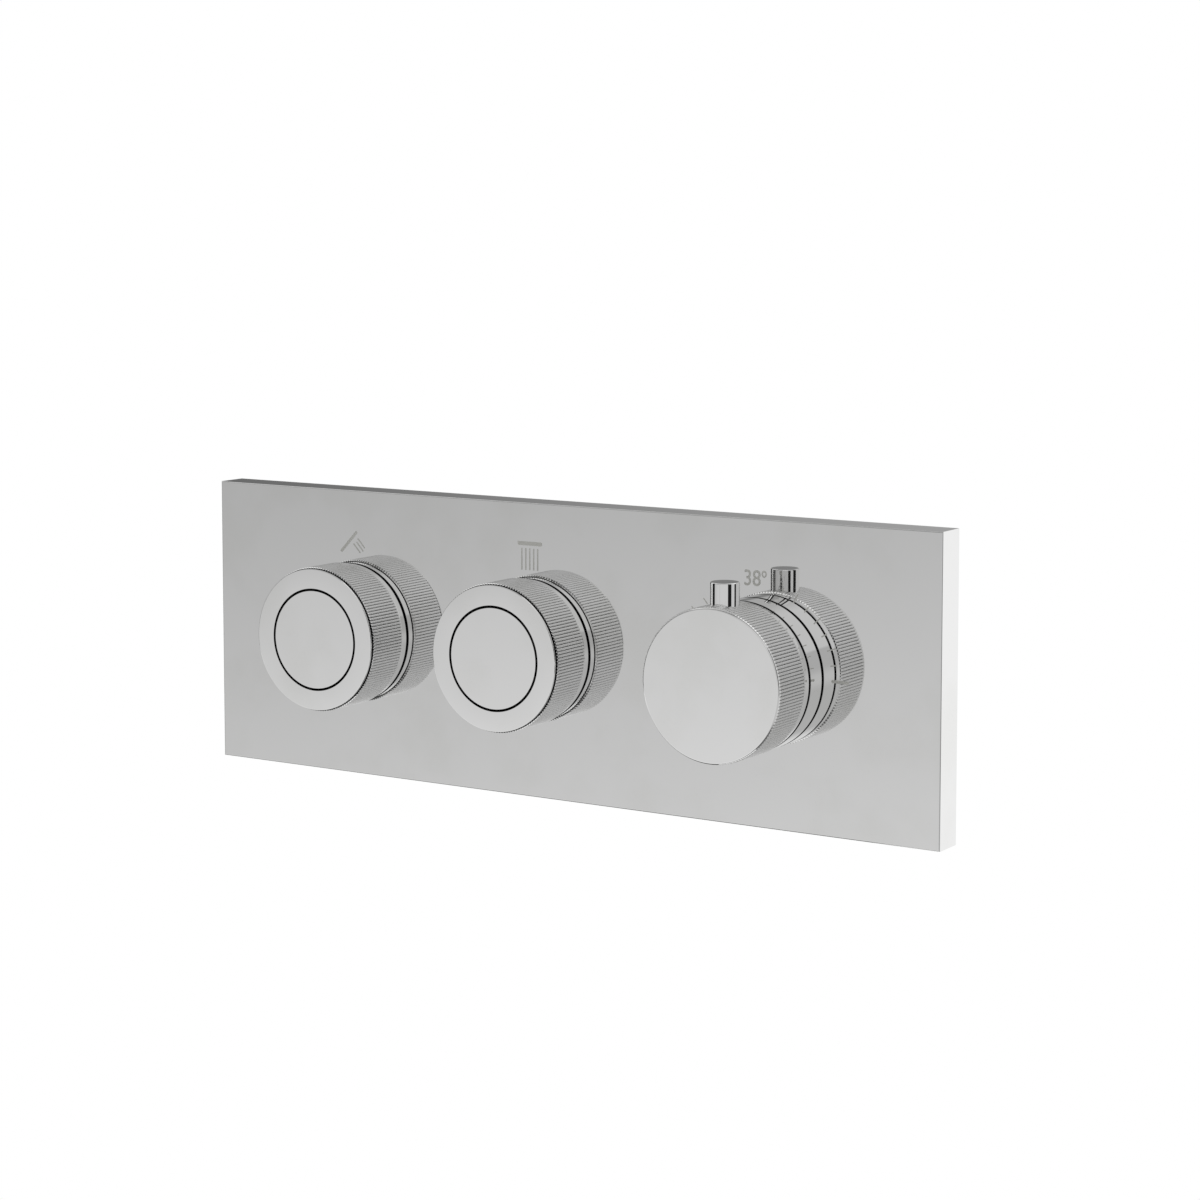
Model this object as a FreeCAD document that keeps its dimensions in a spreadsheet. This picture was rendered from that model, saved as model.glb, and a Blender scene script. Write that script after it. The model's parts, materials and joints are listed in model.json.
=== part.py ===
import FreeCAD, Part
import math
import os
import re
import Sketcher

# A concealed thermostatic shower valve with its wall trim: a rectangular face plate, two push-button
# controls inside knurled flow sleeves, and a knurled temperature knob, in front of a brass body that
# sits in the wall. Lengths are millimetres.
#
# Row frame: the origin is the middle of the face plate on the finished wall plane, +Z is up, +X is to
# the right and the trim looks along -Y. A piece that is turned or laid on the wall is drawn in a frame
# of its own, whose z runs out of the wall towards the user; depths behind the wall are negative there.

doc = FreeCAD.newDocument("thermostatic_shower_valve")
dims = doc.addObject("Spreadsheet::Sheet", "dims")
nodes = []


class Size:
    """A length that knows both its value and the spreadsheet expression that drives it."""

    def __init__(self, value, text):
        self.value = float(value)
        self.text = text

    @staticmethod
    def of(number):
        return number if isinstance(number, Size) else Size(number, repr(number))

    def __add__(self, other):
        other = Size.of(other)
        return Size(self.value + other.value, f"({self.text} + {other.text})")

    def __sub__(self, other):
        other = Size.of(other)
        return Size(self.value - other.value, f"({self.text} - {other.text})")

    def __mul__(self, other):
        other = Size.of(other)
        return Size(self.value * other.value, f"({self.text} * {other.text})")

    def __truediv__(self, other):
        other = Size.of(other)
        return Size(self.value / other.value, f"({self.text} / {other.text})")

    def __neg__(self):
        return Size(-self.value, f"(-{self.text})")

    def __radd__(self, other):
        return Size.of(other) + self

    def __rsub__(self, other):
        return Size.of(other) - self


WALL = Size(0, "0")
AXIS = Size(0, "0")


def size(alias, value, note):
    """Write one driving dimension into the sheet and return it."""
    row = size.rows = getattr(size, "rows", 0) + 1
    dims.set(f"A{row}", alias)
    dims.set(f"B{row}", str(value))
    dims.set(f"C{row}", note)
    dims.setAlias(f"B{row}", alias)
    return Size(value, f"dims.{alias}")


# ------------------------------------------------------------------ sketches and features


def sketch_on(body, plane, lift=WALL):
    """A sketch on one of the body's own origin planes, lifted along the plane's normal."""
    sketch = body.newObject("Sketcher::SketchObject", "sketch")
    support = [f for f in body.Origin.OriginFeatures if f.Role == plane][0]
    sketch.AttachmentSupport = (support, [""])
    sketch.MapMode = "FlatFace"
    sketch.AttachmentOffset.Base.z = lift.value
    sketch.setExpression("AttachmentOffset.Base.z", lift.text)
    return sketch


def pin_point(sketch, line, end, x, y):
    """Hold one point of the sketch at (x, y), each bound to its expression."""
    for kind, axis, place in (("DistanceX", -2, Size.of(x)), ("DistanceY", -1, Size.of(y))):
        if place.text == "0":
            sketch.addConstraint(Sketcher.Constraint("PointOnObject", line, end, axis))
        else:
            number = sketch.addConstraint(Sketcher.Constraint(kind, -1, 1, line, end, place.value))
            sketch.setExpression(f"Constraints[{number}]", place.text)


def outline(sketch, points):
    """A closed outline of straight edges through the points."""
    first = sketch.GeometryCount
    spots = [FreeCAD.Vector(Size.of(x).value, Size.of(y).value, 0) for x, y in points]
    ends = spots[1:] + spots[:1]
    sketch.addGeometry([Part.LineSegment(a, b) for a, b in zip(spots, ends)])
    count = len(points)
    joins = [Sketcher.Constraint("Coincident", first + (k - 1) % count, 2, first + k, 1) for k in range(count)]
    sketch.addConstraint(joins)
    for k, (x, y) in enumerate(points):
        pin_point(sketch, first + k, 1, x, y)


def rectangle(sketch, x_low, x_high, y_low, y_high):
    outline(sketch, [(x_low, y_low), (x_high, y_low), (x_high, y_high), (x_low, y_high)])


def circle(sketch, x, y, radius):
    spot = FreeCAD.Vector(Size.of(x).value, Size.of(y).value, 0)
    ring = sketch.addGeometry(Part.Circle(spot, FreeCAD.Vector(0, 0, 1), radius.value))
    number = sketch.addConstraint(Sketcher.Constraint("Radius", ring, radius.value))
    sketch.setExpression(f"Constraints[{number}]", radius.text)
    pin_point(sketch, ring, 3, x, y)


def extrude(body, kind, sketch, length, reverse=False):
    feature = body.newObject(kind, "feature")
    feature.Profile = sketch
    feature.Length = length.value
    feature.setExpression("Length", length.text)
    feature.Reversed = reverse
    return feature


def pad(body, sketch, length, reverse=False):
    return extrude(body, "PartDesign::Pad", sketch, length, reverse)


def pocket(body, sketch, length, reverse=False):
    """Cut the sketch into the body, and make sure that the cut took material away."""
    doc.recompute()
    before = body.Shape.Volume
    feature = extrude(body, "PartDesign::Pocket", sketch, length, reverse)
    doc.recompute()
    if not body.Shape.Volume < before:
        raise RuntimeError(f"a pocket of {body.Label} cuts nothing")
    return feature


def polar(body, feature, axis, count):
    """Repeat the feature round one of the body's own axes."""
    pattern = body.newObject("PartDesign::PolarPattern", "pattern")
    pattern.Originals = [feature]
    pattern.Axis = ([f for f in body.Origin.OriginFeatures if f.Role == axis][0], [""])
    pattern.Angle = 360
    pattern.Occurrences = int(count.value)
    pattern.setExpression("Occurrences", count.text)
    body.Tip = pattern
    return pattern


def soften(body, kind, amount, wanted):
    """Fillet or chamfer the edges that the test picks by their middle point."""
    doc.recompute()
    names = [
        f"Edge{k + 1}"
        for k, edge in enumerate(body.Shape.Edges)
        if wanted(edge.valueAt((edge.FirstParameter + edge.LastParameter) / 2))
    ]
    base = body.Tip
    feature = body.newObject(kind, "softened")
    feature.Base = (base, names)
    prop = "Radius" if kind.endswith("Fillet") else "Size"
    setattr(feature, prop, amount.value)
    feature.setExpression(prop, amount.text)
    body.Tip = feature
    return feature


def new_body(label):
    body = doc.addObject("PartDesign::Body", "body")
    body.Label = label
    nodes.append(body)
    return body


# How a piece's own z axis lies in the row: out of the wall, straight up, or towards the left end.
FACINGS = {
    "out": FreeCAD.Rotation(FreeCAD.Vector(1, 0, 0), 90),
    "up": FreeCAD.Rotation(),
    "left": FreeCAD.Rotation(FreeCAD.Vector(0, 1, 0), -90),
}


def place(piece, facing="out", x=AXIS, out=WALL, up=AXIS):
    base = FreeCAD.Vector(Size.of(x).value, -Size.of(out).value, Size.of(up).value)
    piece.Placement = FreeCAD.Placement(base, FACINGS[facing])
    for letter, length in (("x", Size.of(x)), ("y", -Size.of(out)), ("z", Size.of(up))):
        piece.setExpression(f"Placement.Base.{letter}", length.text)
    return piece


def turned(label, profile, **where):
    """A piece turned round its own z axis, from the (radius, height) corners of its half section."""
    body = new_body(label)
    sketch = sketch_on(body, "XZ_Plane")
    outline(sketch, profile)
    spin = body.newObject("PartDesign::Revolution", "turning")
    spin.Profile = sketch
    spin.ReferenceAxis = (sketch, ["V_Axis"])
    spin.Angle = 360
    return place(body, **where)


def ring(label, inner, outer, low, high, **where):
    return turned(label, [(inner, low), (outer, low), (outer, high), (inner, high)], **where)


def side_slots(body, width, low, high, reach, count):
    """Slots through the wall of a turned piece, from its axis outwards, spread evenly round it."""
    sketch = sketch_on(body, "XZ_Plane")
    rectangle(sketch, -width / 2, width / 2, low, high)
    polar(body, pocket(body, sketch, reach), "Z_Axis", count)


def coil(label, radius, wire, low, high, turns, facing="out", x=0.0, out=0.0, up=0.0):
    """A compression spring of square-section wire, wound as one unbroken helix."""
    steps = turns.value * COIL_SIDES
    start, end = low.value + wire.value * COIL_LEAN, high.value - wire.value * COIL_LEAN

    def at(k):
        angle = 2 * math.pi * k / COIL_SIDES
        flat = FreeCAD.Vector(math.cos(angle), math.sin(angle), 0) * radius.value
        return flat + FreeCAD.Vector(0, 0, start + (end - start) * k / steps)

    path = Part.makePolygon([at(k) for k in range(int(round(steps)) + 1)])
    half = wire.value
    corners = [(-half, -half), (half, -half), (half, half), (-half, half)]
    square = [at(0) + FreeCAD.Vector(across, 0, rise) for across, rise in corners]
    section = Part.makePolygon(square + square[:1])
    spring = doc.addObject("Part::Feature", "coil")
    spring.Shape = path.makePipeShell([section], True, False, 1)
    spring.Label = label
    spring.Placement = FreeCAD.Placement(FreeCAD.Vector(x, -out, up), FACINGS[facing])
    nodes.append(spring)
    return spring


# A turn is drawn as this many straight lengths, and its ends lean a little past the wire's own height.
COIL_SIDES = 12
COIL_LEAN = 1.25


def fasteners(label, spots, facing, shank_r, shank_low, shank_high, head_r=None, head_high=None):
    """Like screws that share one node, each a separate solid."""
    screws = []
    for x, out, up in spots:
        shank = doc.addObject("Part::Cylinder", "shank")
        rods = [(shank, shank_r, shank_low, shank_high)]
        if head_r is not None:
            rods.append((doc.addObject("Part::Cylinder", "head"), head_r, shank_high, head_high))
        for rod, radius, low, high in rods:
            rod.setExpression("Radius", radius.text)
            rod.setExpression("Height", (high - low).text)
            if facing == "out":
                place(rod, facing, x, out + low, up)
            else:
                place(rod, facing, x, out, up + low)
        screw = shank
        if head_r is not None:
            screw = doc.addObject("Part::Fuse", "screw")
            screw.Base, screw.Tool = rods[0][0], rods[1][0]
        screws.append(screw)
    group = doc.addObject("Part::Compound", "fasteners")
    group.Links = screws
    group.Label = label
    nodes.append(group)
    return group


# ------------------------------------------------------------------ layout
plate_width = size("plate_width", 287, "face plate, left to right")
plate_height = size("plate_height", 100, "face plate, bottom to top")
plate_depth = size("plate_depth", 11.5, "wall plane to the front of the face plate")
left_x = size("left_x", -85, "axis of the left button control")
button_spacing = size("button_spacing", 75, "left button axis to middle button axis")
thermostat_spacing = size("thermostat_spacing", 87.5, "middle button axis to thermostat axis")
middle_x = left_x + button_spacing
thermostat_x = middle_x + thermostat_spacing
button_height = size("button_height", 21.3, "front of a button control above the plate")
knob_height = size("knob_height", 28.8, "front of the temperature knob above the plate")
knob_r = size("knob_r", 25, "radius over the knurling, all three controls")
run_gap = size("run_gap", 0.06, "radial clearance of everything that turns or slides")
seat_gap = size("seat_gap", 0.05, "radial clearance of what is pushed or screwed home")
turn_gap = size("turn_gap", 0.4, "end clearance between turning and fixed pieces")
button_front = plate_depth + button_height
knob_front = plate_depth + knob_height

# ------------------------------------------------------------------ face plate
# A shallow brass tray: front wall, rim, three round holes and two inside bosses for the grub screws
# that hold it on the carrier frame from below.
plate_wall = size("plate_wall", 2.5, "front wall and rim of the face plate")
plate_edge = size("plate_edge", 0.4, "rounding of the face plate's front edges")
neck_hole_r = size("neck_hole_r", 13.6, "hole in the face plate round each valve neck")
grub_x = size("grub_x", 100, "grub screws left and right of the middle")
grub_out = size("grub_out", 6, "grub screw axis out of the wall")
grub_r = size("grub_r", 2, "M4 grub screw")
grub_boss_half = size("grub_boss_half", 5, "half the length of a grub screw boss")
grub_boss_height = size("grub_boss_height", 3.5, "height of a grub screw boss above the rim")
grub_boss_back = size("grub_boss_back", 3.2, "back of a grub screw boss out of the wall")
half_width, half_height = plate_width / 2, plate_height / 2
inner_width, inner_height = half_width - plate_wall, half_height - plate_wall
plate_inside = plate_depth - plate_wall
control_axes = [left_x, middle_x, thermostat_x]

face_plate = new_body("face_plate")
slab = sketch_on(face_plate, "XY_Plane")
rectangle(slab, -half_width, half_width, -half_height, half_height)
pad(face_plate, slab, plate_depth)
soften(
    face_plate,
    "PartDesign::Fillet",
    plate_edge,
    lambda middle: middle.z > plate_depth.value - 0.01,
)
hollow = sketch_on(face_plate, "XY_Plane")
rectangle(hollow, -inner_width, inner_width, -inner_height, inner_height)
pocket(face_plate, hollow, plate_inside, reverse=True)
for side in (-1, 1):
    boss = sketch_on(face_plate, "XY_Plane", grub_boss_back)
    low, high = grub_x * side - grub_boss_half, grub_x * side + grub_boss_half
    rectangle(boss, low, high, -inner_height, -inner_height + grub_boss_height)
    pad(face_plate, boss, plate_inside - grub_boss_back)
for axis_x in control_axes:
    opening = sketch_on(face_plate, "XY_Plane")
    circle(opening, axis_x, AXIS, neck_hole_r)
    pocket(face_plate, opening, plate_depth, reverse=True)
for side in (-1, 1):
    tapped = sketch_on(face_plate, "XZ_Plane", half_height)
    circle(tapped, grub_x * side, grub_out, grub_r + seat_gap)
    pocket(face_plate, tapped, plate_wall + grub_boss_height)
place(face_plate)

# Foam seal laid along the inside of the rim, between the plate and the tiles.
plate_seal_width = size("plate_seal_width", 4, "width of the rim seal")
plate_seal_thick = size("plate_seal_thick", 3, "thickness of the rim seal")
plate_seal = new_body("plate_seal")
strip = sketch_on(plate_seal, "XY_Plane")
rectangle(strip, -inner_width, inner_width, -inner_height, inner_height)
seal_x, seal_z = inner_width - plate_seal_width, inner_height - plate_seal_width
rectangle(strip, -seal_x, seal_x, -seal_z, seal_z)
pad(plate_seal, strip, plate_seal_thick)
place(plate_seal)

# ------------------------------------------------------------------ carrier frame
# A steel channel on the wall plane that the plate slides over. Four long screws hold it to the body.
carrier_end_gap = size("carrier_end_gap", 6, "carrier frame's ends to the rim seal")
carrier_side_gap = size("carrier_side_gap", 1.5, "carrier frame's flanges to the rim seal")
carrier_sheet = size("carrier_sheet", 2, "sheet thickness of the carrier frame")
carrier_flange = size("carrier_flange", 8.5, "depth of the folded flanges")
carrier_hole_r = size("carrier_hole_r", 14, "hole in the carrier round each valve neck")
pillar_left_x = size("pillar_left_x", -47.5, "left pair of body screws")
pillar_right_x = size("pillar_right_x", 31, "right pair of body screws")
pillar_up = size("pillar_up", 10, "body screws above and below the middle")
screw_r = size("screw_r", 2, "M4 body screws")
screw_gap = size("screw_gap", 0.25, "clearance round a body screw in the carrier frame")
carrier_half_width = seal_x - carrier_end_gap
carrier_half_height = seal_z - carrier_side_gap
screw_hole_r = screw_r + screw_gap
pillar_spots = [(x, side) for x in (pillar_left_x, pillar_right_x) for side in (-1, 1)]

carrier = new_body("carrier_frame")
sheet = sketch_on(carrier, "XY_Plane")
rectangle(sheet, -carrier_half_width, carrier_half_width, -carrier_half_height, carrier_half_height)
pad(carrier, sheet, carrier_sheet)
for side in (-1, 1):
    edge, inner_edge = carrier_half_height * side, (carrier_half_height - carrier_sheet) * side
    fold = sketch_on(carrier, "XY_Plane")
    rectangle(fold, -carrier_half_width, carrier_half_width, inner_edge, edge)
    pad(carrier, fold, carrier_flange)
openings = sketch_on(carrier, "XY_Plane")
for axis_x in control_axes:
    circle(openings, axis_x, AXIS, carrier_hole_r)
for x, side in pillar_spots:
    circle(openings, x, pillar_up * side, screw_hole_r)
pocket(carrier, openings, carrier_sheet, reverse=True)
place(carrier)

plate_grub_screws = fasteners(
    "plate_grub_screws",
    [(grub_x * side, grub_out, AXIS) for side in (-1, 1)],
    "up",
    grub_r,
    -half_height + plate_edge,
    -carrier_half_height,
)

# ------------------------------------------------------------------ button controls
seal_thick = size("seal_thick", 0.5, "washer between the plate and a fixed collar")
seal_inset = size("seal_inset", 1, "washer edge inside the collar edge")
collar_r = size("collar_r", 24.3, "radius of the button collars")
collar_height = size("collar_height", 2.6, "visible height of the button collars")
spigot_height = size("spigot_height", 1.8, "step of the collar inside the sleeve")
spigot_gap = size("spigot_gap", 0.4, "clearance round that step")
sleeve_wall = size("sleeve_wall", 2.4, "side wall of the flow sleeves")
sleeve_face = size("sleeve_face", 2.5, "front wall of the flow sleeves")
rim_r = size("rim_r", 24.5, "radius of the smooth front rim")
rim_height = size("rim_height", 0.6, "height of the smooth front rim")
rim_groove = size("rim_groove", 0.4, "groove between the rim and the knurling")
rim_groove_r = size("rim_groove_r", 24.1, "radius at the bottom of that groove")
edge_round = size("edge_round", 0.4, "rounding of the front edges")
knurl_chamfer = size("knurl_chamfer", 0.5, "bevel at both ends of the knurling")
button_r = size("button_r", 17.1, "radius of the push buttons")
button_gap = size("button_gap", 0.5, "gap round the push buttons")
button_face = size("button_face", 2.5, "front wall of the push buttons")
button_skirt = size("button_skirt", 3.8, "skirt of the push buttons behind their front wall")
button_skirt_wall = size("button_skirt_wall", 1.5, "wall of that skirt")
button_travel = size("button_travel", 3, "how far a button is pressed")
socket_r = size("socket_r", 5, "socket of the button that holds the push rod")
rod_r = size("rod_r", 3, "push rod")
rod_grip = size("rod_grip", 4, "push rod inside the button's socket")
rod_proud = size("rod_proud", 0.6, "push rod end behind the poppet")
driver_thick = size("driver_thick", 2.4, "disc of the flow driver")
driver_hub_r = size("driver_hub_r", 9, "hub of the flow driver")
driver_hub = size("driver_hub", 3.8, "hub of the flow driver behind its disc")
spline_r = size("spline_r", 6, "splined end of the flow stem")
neck_r = size("neck_r", 11, "threaded neck of a flow cartridge")
neck_clear = size("neck_clear", 0.8, "neck end behind the driver hub")
mouth_depth = size("mouth_depth", 6, "mouths of the body behind the wall")
flange_depth = size("flange_depth", 10, "cartridge flange in the body's mouth")
flow_bore_r = size("flow_bore_r", 13, "bore for a flow cartridge")
flow_mouth_r = size("flow_mouth_r", 14.5, "mouth of that bore")
flow_seat_depth = size("flow_seat_depth", 38, "valve seat behind the wall")
seat_thick = size("seat_thick", 2, "valve seat ring")
seat_hole_r = size("seat_hole_r", 5, "hole in the valve seat")
chamber_r = size("chamber_r", 9.6, "inside of the flow cartridge")
chamber_depth = size("chamber_depth", 18, "top of that chamber behind the wall")
stem_r = size("stem_r", 8, "flow stem in its bearing")
skirt_wall = size("skirt_wall", 2, "throttle skirt of the flow stem")
window_low = size("window_low", 33, "deep end of the outlet windows")
window_high = size("window_high", 24, "shallow end of the outlet windows")
window_width = size("window_width", 11, "width of the outlet windows")
window_count = size("window_count", 2, "outlet windows")
poppet_r = size("poppet_r", 7.5, "poppet that closes the seat")
poppet_thick = size("poppet_thick", 2.5, "thickness of the poppet")
poppet_washer = size("poppet_washer", 1, "rubber washer of the poppet")
spring_r = size("spring_r", 6.8, "middle radius of the button spring")
spring_wire = size("spring_wire", 0.35, "half the wire of the button spring")
spring_turns = size("spring_turns", 3, "turns of the button spring")
oring_height = size("oring_height", 1.6, "O-rings of all cartridges")
oring_depth = size("oring_depth", 1.5, "O-ring grooves of all cartridges")
flow_oring_depth = size("flow_oring_depth", 20, "O-ring of a flow cartridge behind the wall")

collar_back = plate_depth + seal_thick
collar_front = collar_back + collar_height
sleeve_back = collar_front + turn_gap
sleeve_in_r = knob_r - sleeve_wall
sleeve_inside = button_front - sleeve_face
rim_back = button_front - rim_height
rim_groove_back = rim_back - rim_groove
opening_r = button_r + button_gap
button_inside = button_front - button_face
skirt_back = button_inside - button_skirt
driver_front = skirt_back - button_travel - turn_gap
driver_back = driver_front - driver_thick
hub_back = driver_back - driver_hub
neck_top = hub_back - neck_clear
stem_top = driver_front - turn_gap
socket_back = stem_top + button_travel + turn_gap
chamber_top = -chamber_depth
seat_back = -flow_seat_depth
poppet_back = seat_back - poppet_washer - poppet_thick
rod_end = poppet_back - rod_proud
oring_in = flow_bore_r - oring_depth
shell_r = flow_bore_r - seat_gap


def button_control(side, axis_x):
    """One push-button control: trim pieces first, then its cartridge from the neck inwards."""
    ring(f"{side}_collar_seal", neck_hole_r, collar_r - seal_inset, plate_depth, collar_back, x=axis_x)
    turned(
        f"{side}_collar",
        [
            (neck_r + seat_gap, collar_back),
            (collar_r, collar_back),
            (collar_r, collar_front),
            (sleeve_in_r - spigot_gap, collar_front),
            (sleeve_in_r - spigot_gap, collar_front + spigot_height),
            (neck_r + seat_gap, collar_front + spigot_height),
        ],
        x=axis_x,
    )
    turned(
        f"{side}_flow_sleeve",
        [
            (sleeve_in_r, sleeve_back),
            (knob_r - knurl_chamfer, sleeve_back),
            (knob_r, sleeve_back + knurl_chamfer),
            (knob_r, rim_groove_back - knurl_chamfer),
            (knob_r - knurl_chamfer, rim_groove_back),
            (rim_groove_r, rim_groove_back),
            (rim_groove_r, rim_back),
            (rim_r, rim_back),
            (rim_r, button_front - edge_round / 2),
            (rim_r - edge_round / 2, button_front),
            (opening_r, button_front),
            (opening_r, sleeve_inside),
            (sleeve_in_r, sleeve_inside),
        ],
        x=axis_x,
    )
    turned(
        f"{side}_button",
        [
            (AXIS, socket_back + rod_grip),
            (rod_r + seat_gap, socket_back + rod_grip),
            (rod_r + seat_gap, socket_back),
            (socket_r, socket_back),
            (socket_r, button_inside),
            (button_r - button_skirt_wall, button_inside),
            (button_r - button_skirt_wall, skirt_back),
            (button_r, skirt_back),
            (button_r, button_front - edge_round / 2),
            (button_r - edge_round / 2, button_front),
            (AXIS, button_front),
        ],
        x=axis_x,
    )
    coil(
        f"{side}_button_spring",
        spring_r,
        spring_wire,
        driver_front,
        button_inside,
        spring_turns,
        x=axis_x.value,
    )
    turned(
        f"{side}_flow_driver",
        [
            (spline_r + seat_gap, hub_back),
            (driver_hub_r, hub_back),
            (driver_hub_r, driver_back),
            (sleeve_in_r - seat_gap, driver_back),
            (sleeve_in_r - seat_gap, driver_front),
            (spline_r + seat_gap, driver_front),
        ],
        x=axis_x,
    )
    turned(
        f"{side}_flow_stem",
        [
            (rod_r + run_gap, chamber_top - skirt_wall - turn_gap),
            (chamber_r - run_gap - skirt_wall, chamber_top - skirt_wall - turn_gap),
            (chamber_r - run_gap - skirt_wall, seat_back + seat_thick + turn_gap),
            (chamber_r - run_gap, seat_back + seat_thick + turn_gap),
            (chamber_r - run_gap, chamber_top - turn_gap),
            (stem_r, chamber_top - turn_gap),
            (stem_r, neck_top + turn_gap),
            (spline_r, neck_top + turn_gap),
            (spline_r, stem_top),
            (rod_r + run_gap, stem_top),
        ],
        x=axis_x,
    )
    side_slots(nodes[-1], window_width, -window_low, -window_high, chamber_r, window_count)
    ring(f"{side}_push_rod", AXIS, rod_r, rod_end, socket_back + rod_grip, x=axis_x)
    turned(
        f"{side}_cartridge_shell",
        [
            (chamber_r, seat_back),
            (shell_r, seat_back),
            (shell_r, -flow_oring_depth - oring_height),
            (oring_in, -flow_oring_depth - oring_height),
            (oring_in, -flow_oring_depth),
            (shell_r, -flow_oring_depth),
            (shell_r, -mouth_depth - flange_depth),
            (flow_mouth_r - seat_gap, -mouth_depth - flange_depth),
            (flow_mouth_r - seat_gap, -mouth_depth),
            (neck_r, -mouth_depth),
            (neck_r, neck_top),
            (stem_r + run_gap, neck_top),
            (stem_r + run_gap, chamber_top),
            (chamber_r, chamber_top),
        ],
        x=axis_x,
    )
    side_slots(nodes[-1], window_width, -window_low, -window_high, flow_bore_r, window_count)
    oring_low = -flow_oring_depth - oring_height
    ring(f"{side}_cartridge_oring", oring_in, shell_r, oring_low, -flow_oring_depth, x=axis_x)
    ring(f"{side}_valve_seat", seat_hole_r, chamber_r - seat_gap, seat_back, seat_back + seat_thick, x=axis_x)
    grip_r = rod_r + seat_gap
    ring(f"{side}_poppet_washer", grip_r, poppet_r, seat_back - poppet_washer, seat_back, x=axis_x)
    ring(f"{side}_poppet", grip_r, poppet_r, poppet_back, seat_back - poppet_washer, x=axis_x)


button_control("left", left_x)
button_control("middle", middle_x)

# ------------------------------------------------------------------ thermostat trim
scale_ring_height = size("scale_ring_height", 7.7, "fixed ring behind the temperature knob")
scale_ring_wall = size("scale_ring_wall", 2.4, "rim of the fixed ring")
scale_ring_face = size("scale_ring_face", 2.7, "front disc of the fixed ring")
scale_ring_hub_r = size("scale_ring_hub_r", 16, "hub of the fixed ring")
knob_gap = size("knob_gap", 0.7, "gap between the fixed ring and the knob")
lip_r = size("lip_r", 24.6, "radius of the fixed ring and of the knob's smooth back lip")
knob_edge_length = size("knob_edge_length", 1, "length of the knob's rounded front edge")
knob_edge_fall = size("knob_edge_fall", 0.25, "how far the first bevel of that edge falls in")
knob_edge_width = size("knob_edge_width", 0.7, "width of that edge")
lip_height = size("lip_height", 2.8, "height of the knob's smooth back lip")
knob_wall = size("knob_wall", 4.5, "side wall of the temperature knob")
knob_face = size("knob_face", 2.2, "front wall of the temperature knob")
pin_out = size("pin_out", 19.5, "override button axis above the plate")
pin_r = size("pin_r", 4.7, "override button")
pin_height = size("pin_height", 7, "override button above the knurling")
pin_travel = size("pin_travel", 2.5, "how far the override button is pressed")
pin_flange_r = size("pin_flange_r", 5.4, "flange that keeps the override button in")
pin_flange = size("pin_flange", 1.6, "thickness of that flange")
pin_flange_drop = size("pin_flange_drop", 1, "flange below the knob's inner wall")
pin_tail_r = size("pin_tail_r", 1.8, "tail that guides the override spring")
pin_tail = size("pin_tail", 4.5, "length of that tail")
pin_spring_r = size("pin_spring_r", 2.7, "middle radius of the override spring")
pin_spring_wire = size("pin_spring_wire", 0.3, "half the wire of the override spring")
pin_spring_turns = size("pin_spring_turns", 4, "turns of the override spring")
hub_r = size("hub_r", 9, "hub of the knob adapter")
hub_seat = size("hub_seat", 0.3, "override spring above the adapter hub")
adapter_disc_r = size("adapter_disc_r", 13.5, "disc of the knob adapter")
adapter_disc = size("adapter_disc", 1.8, "thickness of that disc")
thermo_spline_r = size("thermo_spline_r", 5.5, "splined end of the temperature spindle")
spline_length = size("spline_length", 9.5, "spline inside the adapter")
thermo_neck_r = size("thermo_neck_r", 13, "threaded neck of the thermostatic cartridge")
stop_neck_r = size("stop_neck_r", 11, "stepped end of that neck, for the stop ring")
stop_ring_r = size("stop_ring_r", 16.5, "stop ring")
stop_ring_height = size("stop_ring_height", 3, "height of the stop ring")
stop_lug_height = size("stop_lug_height", 1.6, "lug of the stop ring")
stop_lug_width = size("stop_lug_width", 5, "width of that lug")

ring_front = collar_back + scale_ring_height
knob_back = ring_front + knob_gap
knob_in_r = knob_r - knob_wall
knob_inside = knob_front - knob_face
knurl_back = knob_back + lip_height
stop_back = ring_front + turn_gap
stop_top = stop_back + stop_ring_height
lug_top = stop_top + stop_lug_height
hub_bottom = lug_top + turn_gap
adapter_back = knob_inside - adapter_disc

ring(
    "thermostat_ring_seal",
    scale_ring_hub_r,
    lip_r - seal_inset,
    plate_depth,
    collar_back,
    x=thermostat_x,
)
turned(
    "thermostat_ring",
    [
        (thermo_neck_r + seat_gap, collar_back),
        (scale_ring_hub_r, collar_back),
        (scale_ring_hub_r, ring_front - scale_ring_face),
        (lip_r - scale_ring_wall, ring_front - scale_ring_face),
        (lip_r - scale_ring_wall, collar_back),
        (lip_r, collar_back),
        (lip_r, ring_front - edge_round),
        (lip_r - edge_round, ring_front),
        (thermo_neck_r + seat_gap, ring_front),
    ],
    x=thermostat_x,
)

# The knob is one zinc shell. The override button runs in a hole through its side wall at the top.
turned(
    "temperature_knob",
    [
        (AXIS, knob_inside),
        (knob_in_r, knob_inside),
        (knob_in_r, knob_back),
        (lip_r - edge_round, knob_back),
        (lip_r, knob_back + edge_round),
        (lip_r, knurl_back),
        (knob_r, knurl_back + knurl_chamfer),
        (knob_r, knob_front - knob_edge_length),
        (knob_r - knob_edge_fall, knob_front - edge_round),
        (knob_r - knob_edge_width, knob_front),
        (AXIS, knob_front),
    ],
    x=thermostat_x,
)
knob = nodes[-1]
pin_bore = sketch_on(knob, "XZ_Plane", -knob_r)
circle(pin_bore, AXIS, plate_depth + pin_out, pin_r + run_gap)
pocket(knob, pin_bore, knob_wall + knob_r - knob_in_r, reverse=True)

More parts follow.
